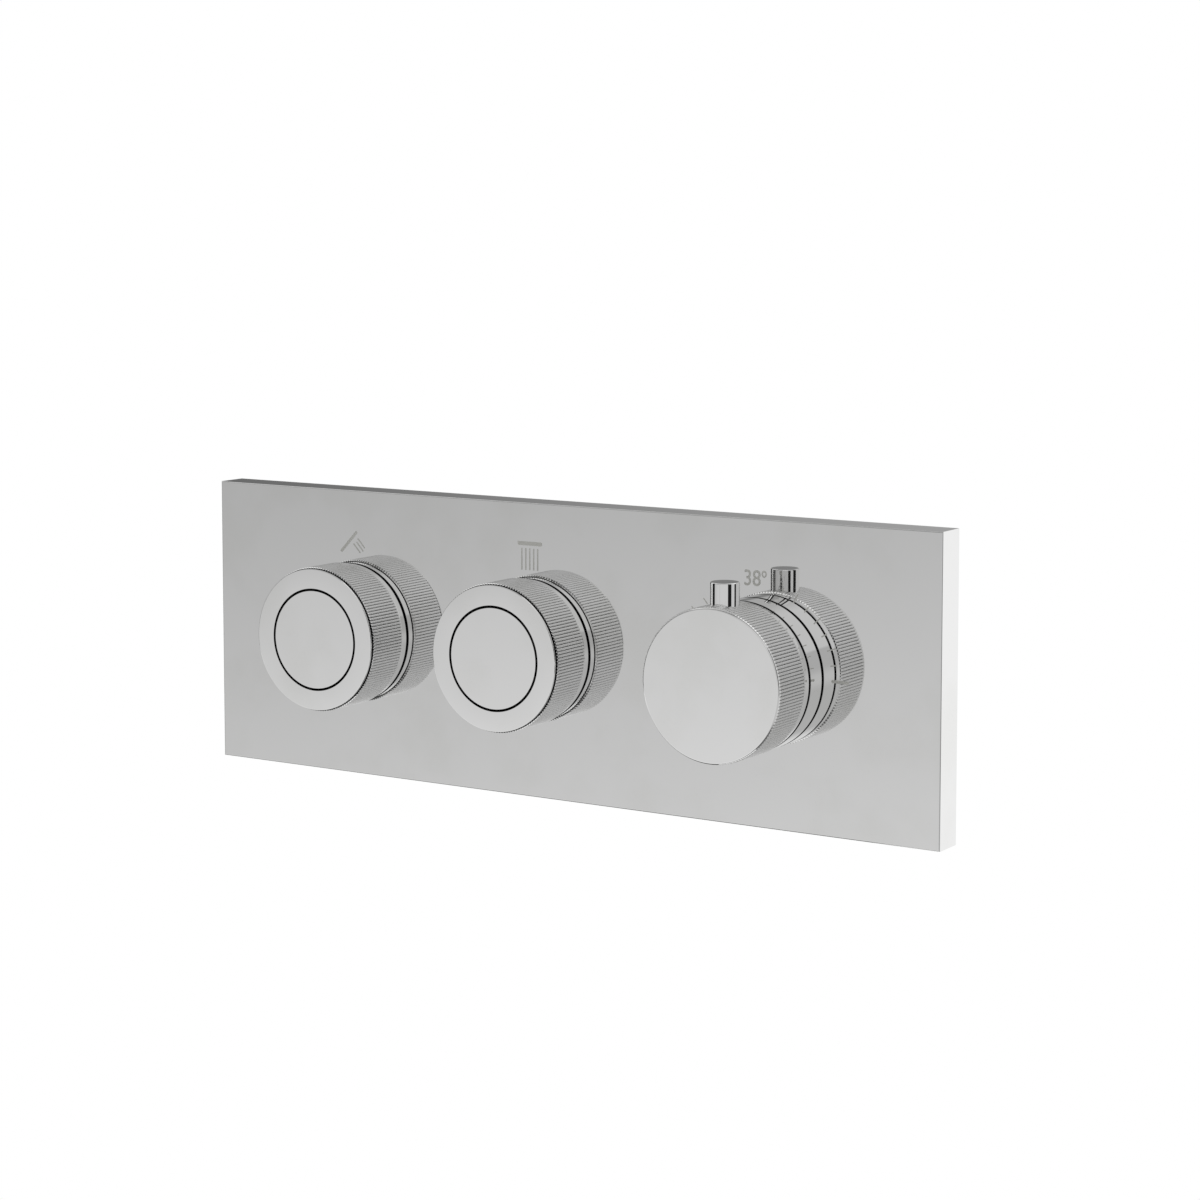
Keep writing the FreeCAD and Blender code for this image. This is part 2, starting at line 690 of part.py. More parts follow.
# Override button: pressed inwards, it lets the knob pass the comfort stop.
flange_top = knob_in_r - pin_flange_drop
flange_low = flange_top - pin_flange
pin_place = dict(facing="up", x=thermostat_x, out=plate_depth + pin_out)
pin_top = knob_r + pin_height
turned(
    "override_button",
    [
        (AXIS, flange_low - pin_tail),
        (pin_tail_r, flange_low - pin_tail),
        (pin_tail_r, flange_low),
        (pin_flange_r, flange_low),
        (pin_flange_r, flange_top),
        (pin_r, flange_top),
        (pin_r, pin_top - edge_round),
        (pin_r - edge_round, pin_top),
        (AXIS, pin_top),
    ],
    **pin_place,
)
coil(
    "override_spring",
    pin_spring_r,
    pin_spring_wire,
    hub_r + hub_seat,
    flange_low,
    pin_spring_turns,
    facing="up",
    x=thermostat_x.value,
    out=(plate_depth + pin_out).value,
)
turned(
    "knob_adapter",
    [
        (thermo_spline_r + seat_gap, hub_bottom),
        (hub_r, hub_bottom),
        (hub_r, adapter_back),
        (adapter_disc_r, adapter_back),
        (adapter_disc_r, knob_inside),
        (thermo_spline_r + seat_gap, knob_inside),
    ],
    x=thermostat_x,
)
ring("stop_ring", stop_neck_r + seat_gap, stop_ring_r, stop_back, stop_top, x=thermostat_x)
stop_ring = nodes[-1]
lug = sketch_on(stop_ring, "XY_Plane", stop_top)
lug_low, lug_high = stop_neck_r + turn_gap, stop_ring_r - turn_gap
rectangle(lug, lug_low, lug_high, -stop_lug_width / 2, stop_lug_width / 2)
pad(stop_ring, lug, stop_lug_height)

# ------------------------------------------------------------------ thermostatic cartridge
thermo_bore_r = size("thermo_bore_r", 17, "bore for the thermostatic cartridge")
thermo_mouth_r = size("thermo_mouth_r", 19, "mouth of that bore")
thermo_depth = size("thermo_depth", 50, "end of the cartridge behind the wall")
shuttle_bore_r = size("shuttle_bore_r", 11, "bore for the mixing shuttle")
shuttle_bore_top = size("shuttle_bore_top", 20, "top of the shuttle bore behind the wall")
spindle_bore_r = size("spindle_bore_r", 9.5, "bore for the head of the spindle")
spindle_shoulder = size("spindle_shoulder", 2, "shoulder over the spindle head, behind the wall")
spindle_r = size("spindle_r", 6.5, "temperature spindle in its bearing")
spindle_head = size("spindle_head", 4, "closed head of the spindle")
spindle_cup_end = size("spindle_cup_end", 18, "open end of the spindle's cup behind the wall")
nut_r = size("nut_r", 7, "adjusting nut in the threaded cup")
nut_low = size("nut_low", 19.5, "open end of the adjusting nut behind the wall")
nut_high = size("nut_high", 9, "closed end of the adjusting nut behind the wall")
nut_wall = size("nut_wall", 1.6, "wall of the adjusting nut")
overload_r = size("overload_r", 3.9, "middle radius of the overload spring")
overload_wire = size("overload_wire", 0.45, "half the wire of the overload spring")
overload_turns = size("overload_turns", 3, "turns of the overload spring")
port_groove = size("port_groove", 2.5, "depth of the hot and cold grooves")
port_slot_height = size("port_slot_height", 2.5, "height of the hot and cold slots, twice the mixing travel")
port_slot_width = size("port_slot_width", 9, "width of the hot and cold slots")
port_slot_count = size("port_slot_count", 4, "slots round each groove")
port_groove_height = size("port_groove_height", 6, "height of the hot and cold grooves")
hot_depth = size("hot_depth", 26, "hot groove and slots behind the wall")
cold_depth = size("cold_depth", 42, "cold groove and slots behind the wall")
element_r = size("element_r", 5.5, "wax capsule")
element_end = size("element_end", 46, "end of the wax capsule behind the wall")
element_flange = size("element_flange", 22, "flange of the wax capsule behind the wall")
element_flange_r = size("element_flange_r", 8, "radius of that flange")
element_flange_thick = size("element_flange_thick", 2, "thickness of that flange")
element_pin_r = size("element_pin_r", 2, "piston rod of the wax capsule")
element_pin_end = size("element_pin_end", 15, "end of that rod behind the wall")
shuttle_wall = size("shuttle_wall", 1.5, "wall of the shuttle")
shuttle_web = size("shuttle_web", 2.5, "web of the shuttle round the capsule")
shuttle_hole_r = size("shuttle_hole_r", 1.4, "flow holes in the web")
shuttle_hole_ring = size("shuttle_hole_ring", 7.5, "radius of the ring of flow holes")
shuttle_hole_count = size("shuttle_hole_count", 6, "flow holes in the web")
spring_seat_thick = size("spring_seat_thick", 2, "ring that carries the return spring")
spring_seat_hole_r = size("spring_seat_hole_r", 7, "hole in that ring")
return_spring_r = size("return_spring_r", 8.1, "middle radius of the return spring")
return_spring_wire = size("return_spring_wire", 0.5, "half the wire of the return spring")
return_spring_turns = size("return_spring_turns", 4, "turns of the return spring")

body_r = thermo_bore_r - seat_gap
thermo_end = -thermo_depth
cold_low, cold_high = -cold_depth - port_groove_height / 2, -cold_depth + port_groove_height / 2
hot_low, hot_high = -hot_depth - port_groove_height / 2, -hot_depth + port_groove_height / 2
middle_land = (cold_high + hot_low) / 2
thermo_oring_in = thermo_bore_r - oring_depth
neck_end = stop_top
land_orings = [
    (thermo_end + cold_low) / 2 - oring_height / 2,
    middle_land - oring_height / 2,
    (hot_high - mouth_depth - flange_depth) / 2 - oring_height / 2,
]


def groove(low):
    """The corners of one O-ring groove, going up the outside of the cartridge."""
    high = low + oring_height
    return [(body_r, low), (thermo_oring_in, low), (thermo_oring_in, high), (body_r, high)]


def port(low, high):
    inside = body_r - port_groove
    return [(body_r, low), (inside, low), (inside, high), (body_r, high)]


turned(
    "thermostat_shell",
    [(shuttle_bore_r, thermo_end), (body_r, thermo_end)]
    + groove(land_orings[0])
    + port(cold_low, cold_high)
    + groove(land_orings[1])
    + port(hot_low, hot_high)
    + groove(land_orings[2])
    + [
        (body_r, -mouth_depth - flange_depth),
        (thermo_mouth_r - seat_gap, -mouth_depth - flange_depth),
        (thermo_mouth_r - seat_gap, -mouth_depth),
        (thermo_neck_r, -mouth_depth),
        (thermo_neck_r, ring_front - turn_gap),
        (stop_neck_r, ring_front - turn_gap),
        (stop_neck_r, neck_end),
        (spindle_r + run_gap, neck_end),
        (spindle_r + run_gap, -spindle_shoulder),
        (spindle_bore_r, -spindle_shoulder),
        (spindle_bore_r, -shuttle_bore_top),
        (shuttle_bore_r, -shuttle_bore_top),
    ],
    x=thermostat_x,
)
thermostat_shell = nodes[-1]
for depth in (hot_depth, cold_depth):
    half_slot = port_slot_height / 2
    side_slots(
        thermostat_shell,
        port_slot_width,
        -depth - half_slot,
        -depth + half_slot,
        thermo_bore_r,
        port_slot_count,
    )
for name, low in zip(("rear", "middle", "front"), land_orings):
    ring(f"thermostat_{name}_oring", thermo_oring_in, body_r, low, low + oring_height, x=thermostat_x)

head_low = -spindle_shoulder - turn_gap - spindle_head
turned(
    "temperature_spindle",
    [
        (AXIS, head_low),
        (nut_r + run_gap, head_low),
        (nut_r + run_gap, -spindle_cup_end),
        (spindle_bore_r - run_gap, -spindle_cup_end),
        (spindle_bore_r - run_gap, -spindle_shoulder - turn_gap),
        (spindle_r, -spindle_shoulder - turn_gap),
        (spindle_r, neck_end + turn_gap),
        (thermo_spline_r, neck_end + turn_gap),
        (thermo_spline_r, hub_bottom + spline_length),
        (AXIS, hub_bottom + spline_length),
    ],
    x=thermostat_x,
)
turned(
    "adjusting_nut",
    [
        (AXIS, -nut_high - nut_wall),
        (nut_r - nut_wall, -nut_high - nut_wall),
        (nut_r - nut_wall, -nut_low),
        (nut_r, -nut_low),
        (nut_r, -nut_high),
        (AXIS, -nut_high),
    ],
    x=thermostat_x,
)
coil(
    "overload_spring",
    overload_r,
    overload_wire,
    -element_flange,
    -nut_high - nut_wall,
    overload_turns,
    x=thermostat_x.value,
)
flange_back = -element_flange - element_flange_thick
turned(
    "wax_element",
    [
        (AXIS, -element_end),
        (element_r - edge_round, -element_end),
        (element_r, -element_end + edge_round),
        (element_r, flange_back),
        (element_flange_r, flange_back),
        (element_flange_r, -element_flange),
        (element_pin_r, -element_flange),
        (element_pin_r, -element_pin_end),
        (AXIS, -element_pin_end),
    ],
    x=thermostat_x,
)
shuttle_high, shuttle_low = -hot_depth, -cold_depth
web_low = shuttle_high - shuttle_web
turned(
    "mixing_shuttle",
    [
        (element_r + seat_gap, web_low),
        (shuttle_bore_r - run_gap - shuttle_wall, web_low),
        (shuttle_bore_r - run_gap - shuttle_wall, shuttle_low),
        (shuttle_bore_r - run_gap, shuttle_low),
        (shuttle_bore_r - run_gap, shuttle_high),
        (element_r + seat_gap, shuttle_high),
    ],
    x=thermostat_x,
)
shuttle = nodes[-1]
flow_hole = sketch_on(shuttle, "XY_Plane", shuttle_high)
circle(flow_hole, shuttle_hole_ring, AXIS, shuttle_hole_r)
polar(shuttle, pocket(shuttle, flow_hole, shuttle_web), "Z_Axis", shuttle_hole_count)
spring_seat_top = thermo_end + spring_seat_thick
ring(
    "return_spring_seat",
    spring_seat_hole_r,
    shuttle_bore_r - seat_gap,
    thermo_end,
    spring_seat_top,
    x=thermostat_x,
)
coil(
    "return_spring",
    return_spring_r,
    return_spring_wire,
    spring_seat_top,
    web_low,
    return_spring_turns,
    x=thermostat_x.value,
)

# ------------------------------------------------------------------ brass body
# One hot-pressed body: a bar with three barrels, two outlets on top, two inlets below, and lugs at the
# back. A gallery drilled from the left end carries mixed water to the two flow cartridges.
body_back = size("body_back", 67, "back of the body behind the wall")
bar_front = size("bar_front", 28, "front of the bar behind the wall")
bar_half_height = size("bar_half_height", 17, "half the height of the bar")
bar_left = size("bar_left", 23, "bar beyond the left control's axis")
flow_barrel_r = size("flow_barrel_r", 20, "barrels of the flow cartridges")
thermo_barrel_r = size("thermo_barrel_r", 25, "barrel of the thermostatic cartridge")
flow_bore_end = size("flow_bore_end", 57, "end of the flow bores behind the wall")
thermo_bore_end = size("thermo_bore_end", 63, "end of the thermostat bore behind the wall")
gallery_depth = size("gallery_depth", 56.5, "gallery axis behind the wall")
gallery_r = size("gallery_r", 5.5, "gallery")
port_r = size("port_r", 9.3, "G1/2 ports, at the crest of the thread")
port_length = size("port_length", 14, "threaded length of the ports")
port_boss_r = size("port_boss_r", 14, "bosses of the ports")
outlet_depth = size("outlet_depth", 28, "outlet axes behind the wall")
outlet_top = size("outlet_top", 40, "top of the outlets above the middle")
outlet_way_r = size("outlet_way_r", 6.5, "outlet waterway")
outlet_way_end = size("outlet_way_end", 7, "inner end of that waterway above the middle")
inlet_depth = size("inlet_depth", 34, "inlet axes behind the wall")
inlet_offset = size("inlet_offset", 18, "inlets left and right of the thermostat axis")
inlet_bottom = size("inlet_bottom", 44, "bottom of the inlets below the middle")
inlet_way_r = size("inlet_way_r", 3, "inlet waterways")
inlet_way_offset = size("inlet_way_offset", 16, "inlet waterways from the thermostat axis")
inlet_way_shift = size("inlet_way_shift", 5.5, "inlet waterways in front of and behind the inlet axes")
check_r = size("check_r", 9, "chamber of a check valve")
check_length = size("check_length", 13, "length of that chamber")
lug_left_x = size("lug_left_x", -47.5, "left pair of mounting lugs")
lug_right_x = size("lug_right_x", 31, "right pair of mounting lugs")
lug_up = size("lug_up", 25, "mounting holes above and below the middle")
lug_half_width = size("lug_half_width", 7, "half the width of a lug")
lug_thick = size("lug_thick", 4, "thickness of a lug")
lug_hole_r = size("lug_hole_r", 2.75, "mounting holes")
lug_margin = size("lug_margin", 6, "lug beyond its hole")
pillar_r = size("pillar_r", 5, "pillars for the body screws")
pillar_front = size("pillar_front", 12, "front of the pillars behind the wall")
screw_bite = size("screw_bite", 12, "body screw in its pillar")
screw_run_out = size("screw_run_out", 2, "hole beyond the end of that screw")
plug_r = size("plug_r", 8, "gallery plug")
plug_length = size("plug_length", 8, "threaded length of the gallery plug")

body_end_x = left_x - bar_left
thermo_inlets = [thermostat_x - inlet_offset, thermostat_x + inlet_offset]
pillar_bite = screw_bite + screw_run_out
lug_reach = lug_up + lug_margin

valve_body = new_body("valve_body")
bar = sketch_on(valve_body, "XY_Plane", -body_back)
rectangle(bar, body_end_x, thermostat_x, -bar_half_height, bar_half_height)
pad(valve_body, bar, body_back - bar_front)
barrels = sketch_on(valve_body, "XY_Plane", -body_back)
circle(barrels, left_x, AXIS, flow_barrel_r)
circle(barrels, middle_x, AXIS, flow_barrel_r)
circle(barrels, thermostat_x, AXIS, thermo_barrel_r)
pad(valve_body, barrels, body_back - mouth_depth)
outlets = sketch_on(valve_body, "XZ_Plane")
circle(outlets, left_x, -outlet_depth, port_boss_r)
circle(outlets, middle_x, -outlet_depth, port_boss_r)
pad(valve_body, outlets, outlet_top, reverse=True)
inlets = sketch_on(valve_body, "XZ_Plane")
for inlet_x in thermo_inlets:
    circle(inlets, inlet_x, -inlet_depth, port_boss_r)
pad(valve_body, inlets, inlet_bottom)
lugs = sketch_on(valve_body, "XY_Plane", -body_back)
for lug_x in (lug_left_x, lug_right_x):
    rectangle(lugs, lug_x - lug_half_width, lug_x + lug_half_width, -lug_reach, lug_reach)
pad(valve_body, lugs, lug_thick)
pillars = sketch_on(valve_body, "XY_Plane", -bar_front - pillar_r)
for x, side in pillar_spots:
    circle(pillars, x, pillar_up * side, pillar_r)
pad(valve_body, pillars, bar_front + pillar_r - pillar_front)


def drill(plane, lift, spots, length, reverse=False):
    """Round holes of one depth; each spot is a place on the plane and a radius."""
    holes = sketch_on(valve_body, plane, lift)
    for x, y, radius in spots:
        circle(holes, x, y, radius)
    pocket(valve_body, holes, length, reverse)


flow_axes = [left_x, middle_x]
drill("XY_Plane", -mouth_depth, [(x, AXIS, flow_mouth_r) for x in flow_axes], flange_depth)
drill("XY_Plane", -mouth_depth, [(x, AXIS, flow_bore_r) for x in flow_axes], flow_bore_end - mouth_depth)
drill("XY_Plane", -mouth_depth, [(thermostat_x, AXIS, thermo_mouth_r)], flange_depth)
drill("XY_Plane", -mouth_depth, [(thermostat_x, AXIS, thermo_bore_r)], thermo_bore_end - mouth_depth)
drill(
    "YZ_Plane",
    body_end_x,
    [(AXIS, -gallery_depth, gallery_r)],
    thermostat_x - body_end_x,
    reverse=True,
)
drill("YZ_Plane", body_end_x, [(AXIS, -gallery_depth, plug_r + seat_gap)], plug_length, reverse=True)
outlet_spots = [(x, -outlet_depth, port_r) for x in flow_axes]
drill("XZ_Plane", -outlet_top, outlet_spots, port_length, reverse=True)
outlet_ways = [(x, -outlet_depth, outlet_way_r) for x in flow_axes]
drill("XZ_Plane", -outlet_top, outlet_ways, outlet_top - outlet_way_end, reverse=True)
drill("XZ_Plane", inlet_bottom, [(x, -inlet_depth, port_r) for x in thermo_inlets], port_length)
drill(
    "XZ_Plane",
    inlet_bottom,
    [(x, -inlet_depth, check_r) for x in thermo_inlets],
    port_length + check_length,
)
drill(
    "XZ_Plane",
    inlet_bottom - port_length - check_length,
    [
        (thermostat_x - inlet_way_offset, -inlet_depth + inlet_way_shift, inlet_way_r),
        (thermostat_x + inlet_way_offset, -inlet_depth - inlet_way_shift, inlet_way_r),
    ],
    inlet_bottom - port_length - check_length,
)
lug_spots = [(x, lug_up * side, lug_hole_r) for x in (lug_left_x, lug_right_x) for side in (-1, 1)]
drill("XY_Plane", -body_back, lug_spots, lug_thick, reverse=True)
pillar_holes = [(x, pillar_up * side, screw_r + seat_gap) for x, side in pillar_spots]
drill("XY_Plane", -pillar_front, pillar_holes, pillar_bite)
place(valve_body)

screw_head_r = size("screw_head_r", 3.6, "body screw head")
screw_head = size("screw_head", 2.4, "height of that head")
fasteners(
    "carrier_screws",
    [(x, AXIS, pillar_up * side) for x, side in pillar_spots],
    "out",
    screw_r,
    -pillar_front - screw_bite,
    carrier_sheet,
    screw_head_r,
    carrier_sheet + screw_head,
)

# Gallery plug with its sealing washer, screwed into the left end of the body.
plug_head_r = size("plug_head_r", 10, "head of the gallery plug")
plug_head = size("plug_head", 2.5, "height of that head")
plug_washer = size("plug_washer", 0.6, "sealing washer under that head")
plug_socket_r = size("plug_socket_r", 4, "key socket of the plug, across its corners")
plug_socket = size("plug_socket", 5, "depth of the key socket")
plug_bore_r = size("plug_bore_r", 5, "hollow end of the plug")
plug_bore = size("plug_bore", 3, "depth of the hollow end")
plug_place = dict(facing="left", x=body_end_x, out=-gallery_depth)
ring("gallery_washer", plug_r + seat_gap, plug_head_r, AXIS, plug_washer, **plug_place)
turned(
    "gallery_plug",
    [
        (AXIS, -plug_length + plug_bore),
        (plug_bore_r, -plug_length + plug_bore),
        (plug_bore_r, -plug_length),
        (plug_r, -plug_length),
        (plug_r, plug_washer),
        (plug_head_r, plug_washer),
        (plug_head_r, plug_washer + plug_head),
        (AXIS, plug_washer + plug_head),
    ],
    **plug_place,
)
gallery_plug = nodes[-1]
key_socket = sketch_on(gallery_plug, "XY_Plane", plug_washer + plug_head)
hexagon = [(math.cos(math.radians(60 * k)), math.sin(math.radians(60 * k))) for k in range(6)]
outline(key_socket, [(plug_socket_r * across, plug_socket_r * up) for across, up in hexagon])
pocket(gallery_plug, key_socket, plug_socket)

# ------------------------------------------------------------------ inlet strainers and check valves
strainer_thick = size("strainer_thick", 1.2, "inlet strainer")
strainer_hole_r = size("strainer_hole_r", 1.3, "holes of the strainer")
strainer_hole_ring = size("strainer_hole_ring", 5, "radius of the ring of strainer holes")
strainer_hole_count = size("strainer_hole_count", 8, "strainer holes in the ring")
check_body = size("check_body", 9, "length of a check valve")
check_bore_r = size("check_bore_r", 6.4, "inside of a check valve")
check_lip_r = size("check_lip_r", 4.2, "inlet lip of a check valve")
check_lip = size("check_lip", 1.4, "thickness of that lip")
check_poppet_r = size("check_poppet_r", 5.5, "check poppet")
check_poppet = size("check_poppet", 1.5, "thickness of the check poppet")
check_stem_r = size("check_stem_r", 1.5, "stem of the check poppet")
check_stem = size("check_stem", 6, "length of that stem")
check_guide_r = size("check_guide_r", 3, "guide of that stem")
check_guide = size("check_guide", 1.8, "thickness of the guide's web")
check_arm = size("check_arm", 2, "width of the guide's arms")
check_spring_r = size("check_spring_r", 2.4, "middle radius of the check spring")
check_spring_wire = size("check_spring_wire", 0.25, "half the wire of the check spring")
check_spring_turns = size("check_spring_turns", 3, "turns of the check spring")

chamber_low = port_length - inlet_bottom
strainer_top = chamber_low + strainer_thick
check_top = strainer_top + check_body
lip_top = strainer_top + check_lip
poppet_top = lip_top + check_poppet
guide_low = check_top - check_guide


def inlet(name, inlet_x):
    """The strainer and the check valve of one inlet, from the mouth upwards."""
    where = dict(facing="up", x=inlet_x, out=-inlet_depth)
    turned(
        f"{name}_strainer",
        [
            (AXIS, chamber_low),
            (check_r - seat_gap, chamber_low),
            (check_r - seat_gap, strainer_top),
            (AXIS, strainer_top),
        ],
        **where,
    )
    strainer = nodes[-1]
    hole = sketch_on(strainer, "XY_Plane", strainer_top)
    circle(hole, strainer_hole_ring, AXIS, strainer_hole_r)
    polar(strainer, pocket(strainer, hole, strainer_thick), "Z_Axis", strainer_hole_count)
    turned(
        f"{name}_check_valve",
        [
            (check_lip_r, strainer_top),
            (check_r - seat_gap, strainer_top),
            (check_r - seat_gap, check_top),
            (check_bore_r, check_top),
            (check_bore_r, lip_top),
            (check_lip_r, lip_top),
        ],
        **where,
    )
    housing = nodes[-1]
    reach = check_bore_r + seat_gap
    for long_x, long_y in ((reach, check_arm / 2), (check_arm / 2, reach)):
        arm = sketch_on(housing, "XY_Plane", guide_low)
        rectangle(arm, -long_x, long_x, -long_y, long_y)
        pad(housing, arm, check_guide)
    web = sketch_on(housing, "XY_Plane", guide_low)
    circle(web, AXIS, AXIS, check_guide_r)
    pad(housing, web, check_guide)
    bearing = sketch_on(housing, "XY_Plane", check_top)
    circle(bearing, AXIS, AXIS, check_stem_r + run_gap)
    pocket(housing, bearing, check_guide)
    turned(
        f"{name}_check_poppet",
        [
            (AXIS, lip_top),
            (check_poppet_r, lip_top),
            (check_poppet_r, poppet_top),
            (check_stem_r, poppet_top),
            (check_stem_r, poppet_top + check_stem),
            (AXIS, poppet_top + check_stem),
        ],
        **where,
    )
    coil(
        f"{name}_check_spring",
        check_spring_r,
        check_spring_wire,
        poppet_top,
        guide_low,
        check_spring_turns,
        facing="up",
        x=inlet_x.value,
        out=-inlet_depth.value,
    )


inlet("hot", thermo_inlets[0])
inlet("cold", thermo_inlets[1])

# ------------------------------------------------------------------ check and write
doc.recompute()
for piece in doc.Objects:
    if "Invalid" in piece.State or "Error" in piece.State:
        raise RuntimeError(f"{piece.Name} ({piece.Label}) failed: {piece.State}")
os.makedirs("parts", exist_ok=True)
for node in nodes:
    if node.Shape.isNull() or not node.Shape.isValid() or not node.Shape.Solids:
        raise RuntimeError(f"{node.Label} has no sound solid")
    if not re.fullmatch(r"[a-z][a-z0-9_]{0,58}", node.Label):
        raise RuntimeError(f"{node.Label} can't name a file")
for node in nodes:
    node.Shape.exportStep(f"parts/{node.Label}.step")
print(f"{len(nodes)} nodes written")
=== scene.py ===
import json
import math

import bmesh
import bpy
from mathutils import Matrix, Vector


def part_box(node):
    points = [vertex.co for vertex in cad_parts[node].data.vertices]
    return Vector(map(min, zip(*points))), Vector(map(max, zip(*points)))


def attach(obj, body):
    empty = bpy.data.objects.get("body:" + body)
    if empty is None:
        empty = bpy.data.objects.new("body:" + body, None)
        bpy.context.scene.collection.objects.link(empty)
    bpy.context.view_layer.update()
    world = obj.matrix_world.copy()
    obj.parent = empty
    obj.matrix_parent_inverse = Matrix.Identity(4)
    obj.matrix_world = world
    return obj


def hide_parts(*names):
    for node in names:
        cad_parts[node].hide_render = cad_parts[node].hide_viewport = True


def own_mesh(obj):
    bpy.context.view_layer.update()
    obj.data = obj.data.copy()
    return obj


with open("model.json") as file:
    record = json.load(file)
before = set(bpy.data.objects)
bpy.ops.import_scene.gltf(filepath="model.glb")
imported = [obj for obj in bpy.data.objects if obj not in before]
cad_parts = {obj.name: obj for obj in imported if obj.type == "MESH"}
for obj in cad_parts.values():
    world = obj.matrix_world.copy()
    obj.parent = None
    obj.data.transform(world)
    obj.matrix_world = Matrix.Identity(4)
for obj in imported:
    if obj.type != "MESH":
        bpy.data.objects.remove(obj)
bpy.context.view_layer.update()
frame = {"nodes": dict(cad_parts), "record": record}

# ---------------------------------------------------------------- camera
# A long portrait lens stands right of the valve and a little above it. The back of the camera stays
# nearly upright and the lens is shifted down, so the short sides of the plate stay upright too.
picture_width = 1200
lens_px = 2882.5
sensor_mm = 36
shift_px = 144
camera_place = (0.5280, -0.8090, 0.1550)
camera_tilt, camera_turn = 5.302, 32.575
camera_data = bpy.data.cameras.new("camera")
camera_data.sensor_width = sensor_mm
camera_data.lens = lens_px / picture_width * sensor_mm
camera_data.shift_y = -shift_px / picture_width
camera = bpy.data.objects.new("camera", camera_data)
camera.location = camera_place
camera.rotation_euler = (math.radians(90 - camera_tilt), 0, math.radians(camera_turn))
bpy.context.collection.objects.link(camera)
scene = bpy.context.scene
scene.camera = camera
scene.view_settings.view_transform = "Standard"


# ---------------------------------------------------------------- studio
# The room is a pale tent with a dark gap between its panels on either side, which chrome shows as
# upright black lines, and a dark wall far behind on the left. The camera itself sees plain white.
class Tone:
    """A shader value. Sums and products of tones and numbers add the Math nodes that work them out."""

    def __init__(self, board, socket):
        self.board = board
        self.socket = socket

    def math(self, operation, *values):
        return self.board.node("Math", {"operation": operation}, list(enumerate(values)))

    def __add__(self, other):
        return self.math("ADD", self, other)

    def __sub__(self, other):
        return self.math("SUBTRACT", self, other)

    def __rsub__(self, other):
        return self.math("SUBTRACT", other, self)

    def __mul__(self, other):
        return self.math("MULTIPLY", self, other)

    __radd__ = __add__
    __rmul__ = __mul__

    def output(self, name):
        return Tone(self.board, self.socket.node.outputs[name])

    def ease(self, low, high, bottom=0.0, top=1.0):
        """Goes smoothly from bottom to top as this value goes from low to high."""
        ends = [("From Min", low), ("From Max", high), ("To Min", bottom), ("To Max", top)]
        return self.board.node(
            "MapRange", {"interpolation_type": "SMOOTHSTEP"}, [("Value", self)] + ends
        )

    def band(self, low, high, soft):
        """One between low and high, nothing elsewhere, with soft ends."""
        return self.ease(low - soft, low + soft) * (1 - self.ease(high - soft, high + soft))


class Board:
    """The node tree of a material or of the world."""

    def __init__(self, tree):
        self.tree = tree

    def give(self, node, slot, value):
        """Links a tone to a socket of the node, or sets the socket's own value."""
        if isinstance(value, Tone):
            self.tree.links.new(value.socket, node.inputs[slot])
        else:
            node.inputs[slot].default_value = value

    def node(self, kind, settings, values, output=0):
        """Adds a node of this kind, with its settings first and then its values or links."""
        made = self.tree.nodes.new("ShaderNode" + kind)
        for name, setting in settings.items():
            setattr(made, name, setting)
        for slot, value in values:
            self.give(made, slot, value)
        return Tone(self, made.outputs[output])


room = bpy.data.worlds.new("studio")
scene.world = room
room.use_nodes = True
room.node_tree.nodes.clear()
tent = Board(room.node_tree)
ray = tent.node("SeparateXYZ", {}, [(0, tent.node("TexCoord", {}, [], "Generated"))])

# Directions are in degrees: round_about from the valve's front, positive to its right, and upward
# from the level. Brightness of 1 is white.
degrees = 180 / math.pi
round_about = ray.math("ARCTAN2", ray, 0 - ray.output("Y")) * degrees
upward = ray.math("ARCSINE", ray.output("Z")) * degrees
to_side = round_about.math("ABSOLUTE", round_about)

floor_glow = upward.ease(-20, 0, 0.34, 0) * round_about.ease(-22, -6, 1, 0.1)
high_panel = upward.ease(12.5, 14.5, -0.02, 0.14) * round_about.ease(-20, -4)
low_panel = upward.band(-12.5, -2.5, 4) * round_about.ease(-14, -4) * 0.1
grey_panel = upward.band(4, 11, 2) * round_about.band(-38, -22, 3) * 0.22
front_wall = round_about.ease(-50, -10, 0.44, 0.52) + upward.ease(36, 52, 0, -0.36)
front_wall = front_wall + floor_glow + high_panel + low_panel - grey_panel

dark_wall = round_about.ease(-156, -138, 0.38, 0.15)
ceiling = upward.ease(22, 40)
far_left = dark_wall * (1 - ceiling) + ceiling * 0.4
far_left = upward.ease(-2, 2, 0.30, 0) + upward.ease(-2, 2) * far_left
near_left = round_about.ease(-112, -98).ease(0, 1)
left_wall = (near_left + (1 - near_left) * far_left) * upward.ease(-26, -14, 0.45, 1)
right_wall = to_side.ease(100, 135, 0.58, 1.05)
on_right = round_about.ease(-4, 4)
back_wall = on_right * right_wall + (1 - on_right) * left_wall

in_front = 1 - to_side.ease(66, 67)
tent_light = in_front * front_wall + (1 - in_front) * back_wall
tent_light = tent_light * upward.ease(-50, -38, 0.2, 1)
dark_gap = to_side.band(54, 82, 1.2) * upward.band(-13, 40, 1.5)
tent_light = tent_light * (1 - dark_gap * 0.98)
seen = tent.node("LightPath", {}, [])
shown = tent_light * (1 - seen) + seen
background = tent.node("Background", {}, [("Color", (1, 1, 1, 1)), ("Strength", shown)])
tent.give(tent.tree.nodes.new("ShaderNodeOutputWorld"), "Surface", background)

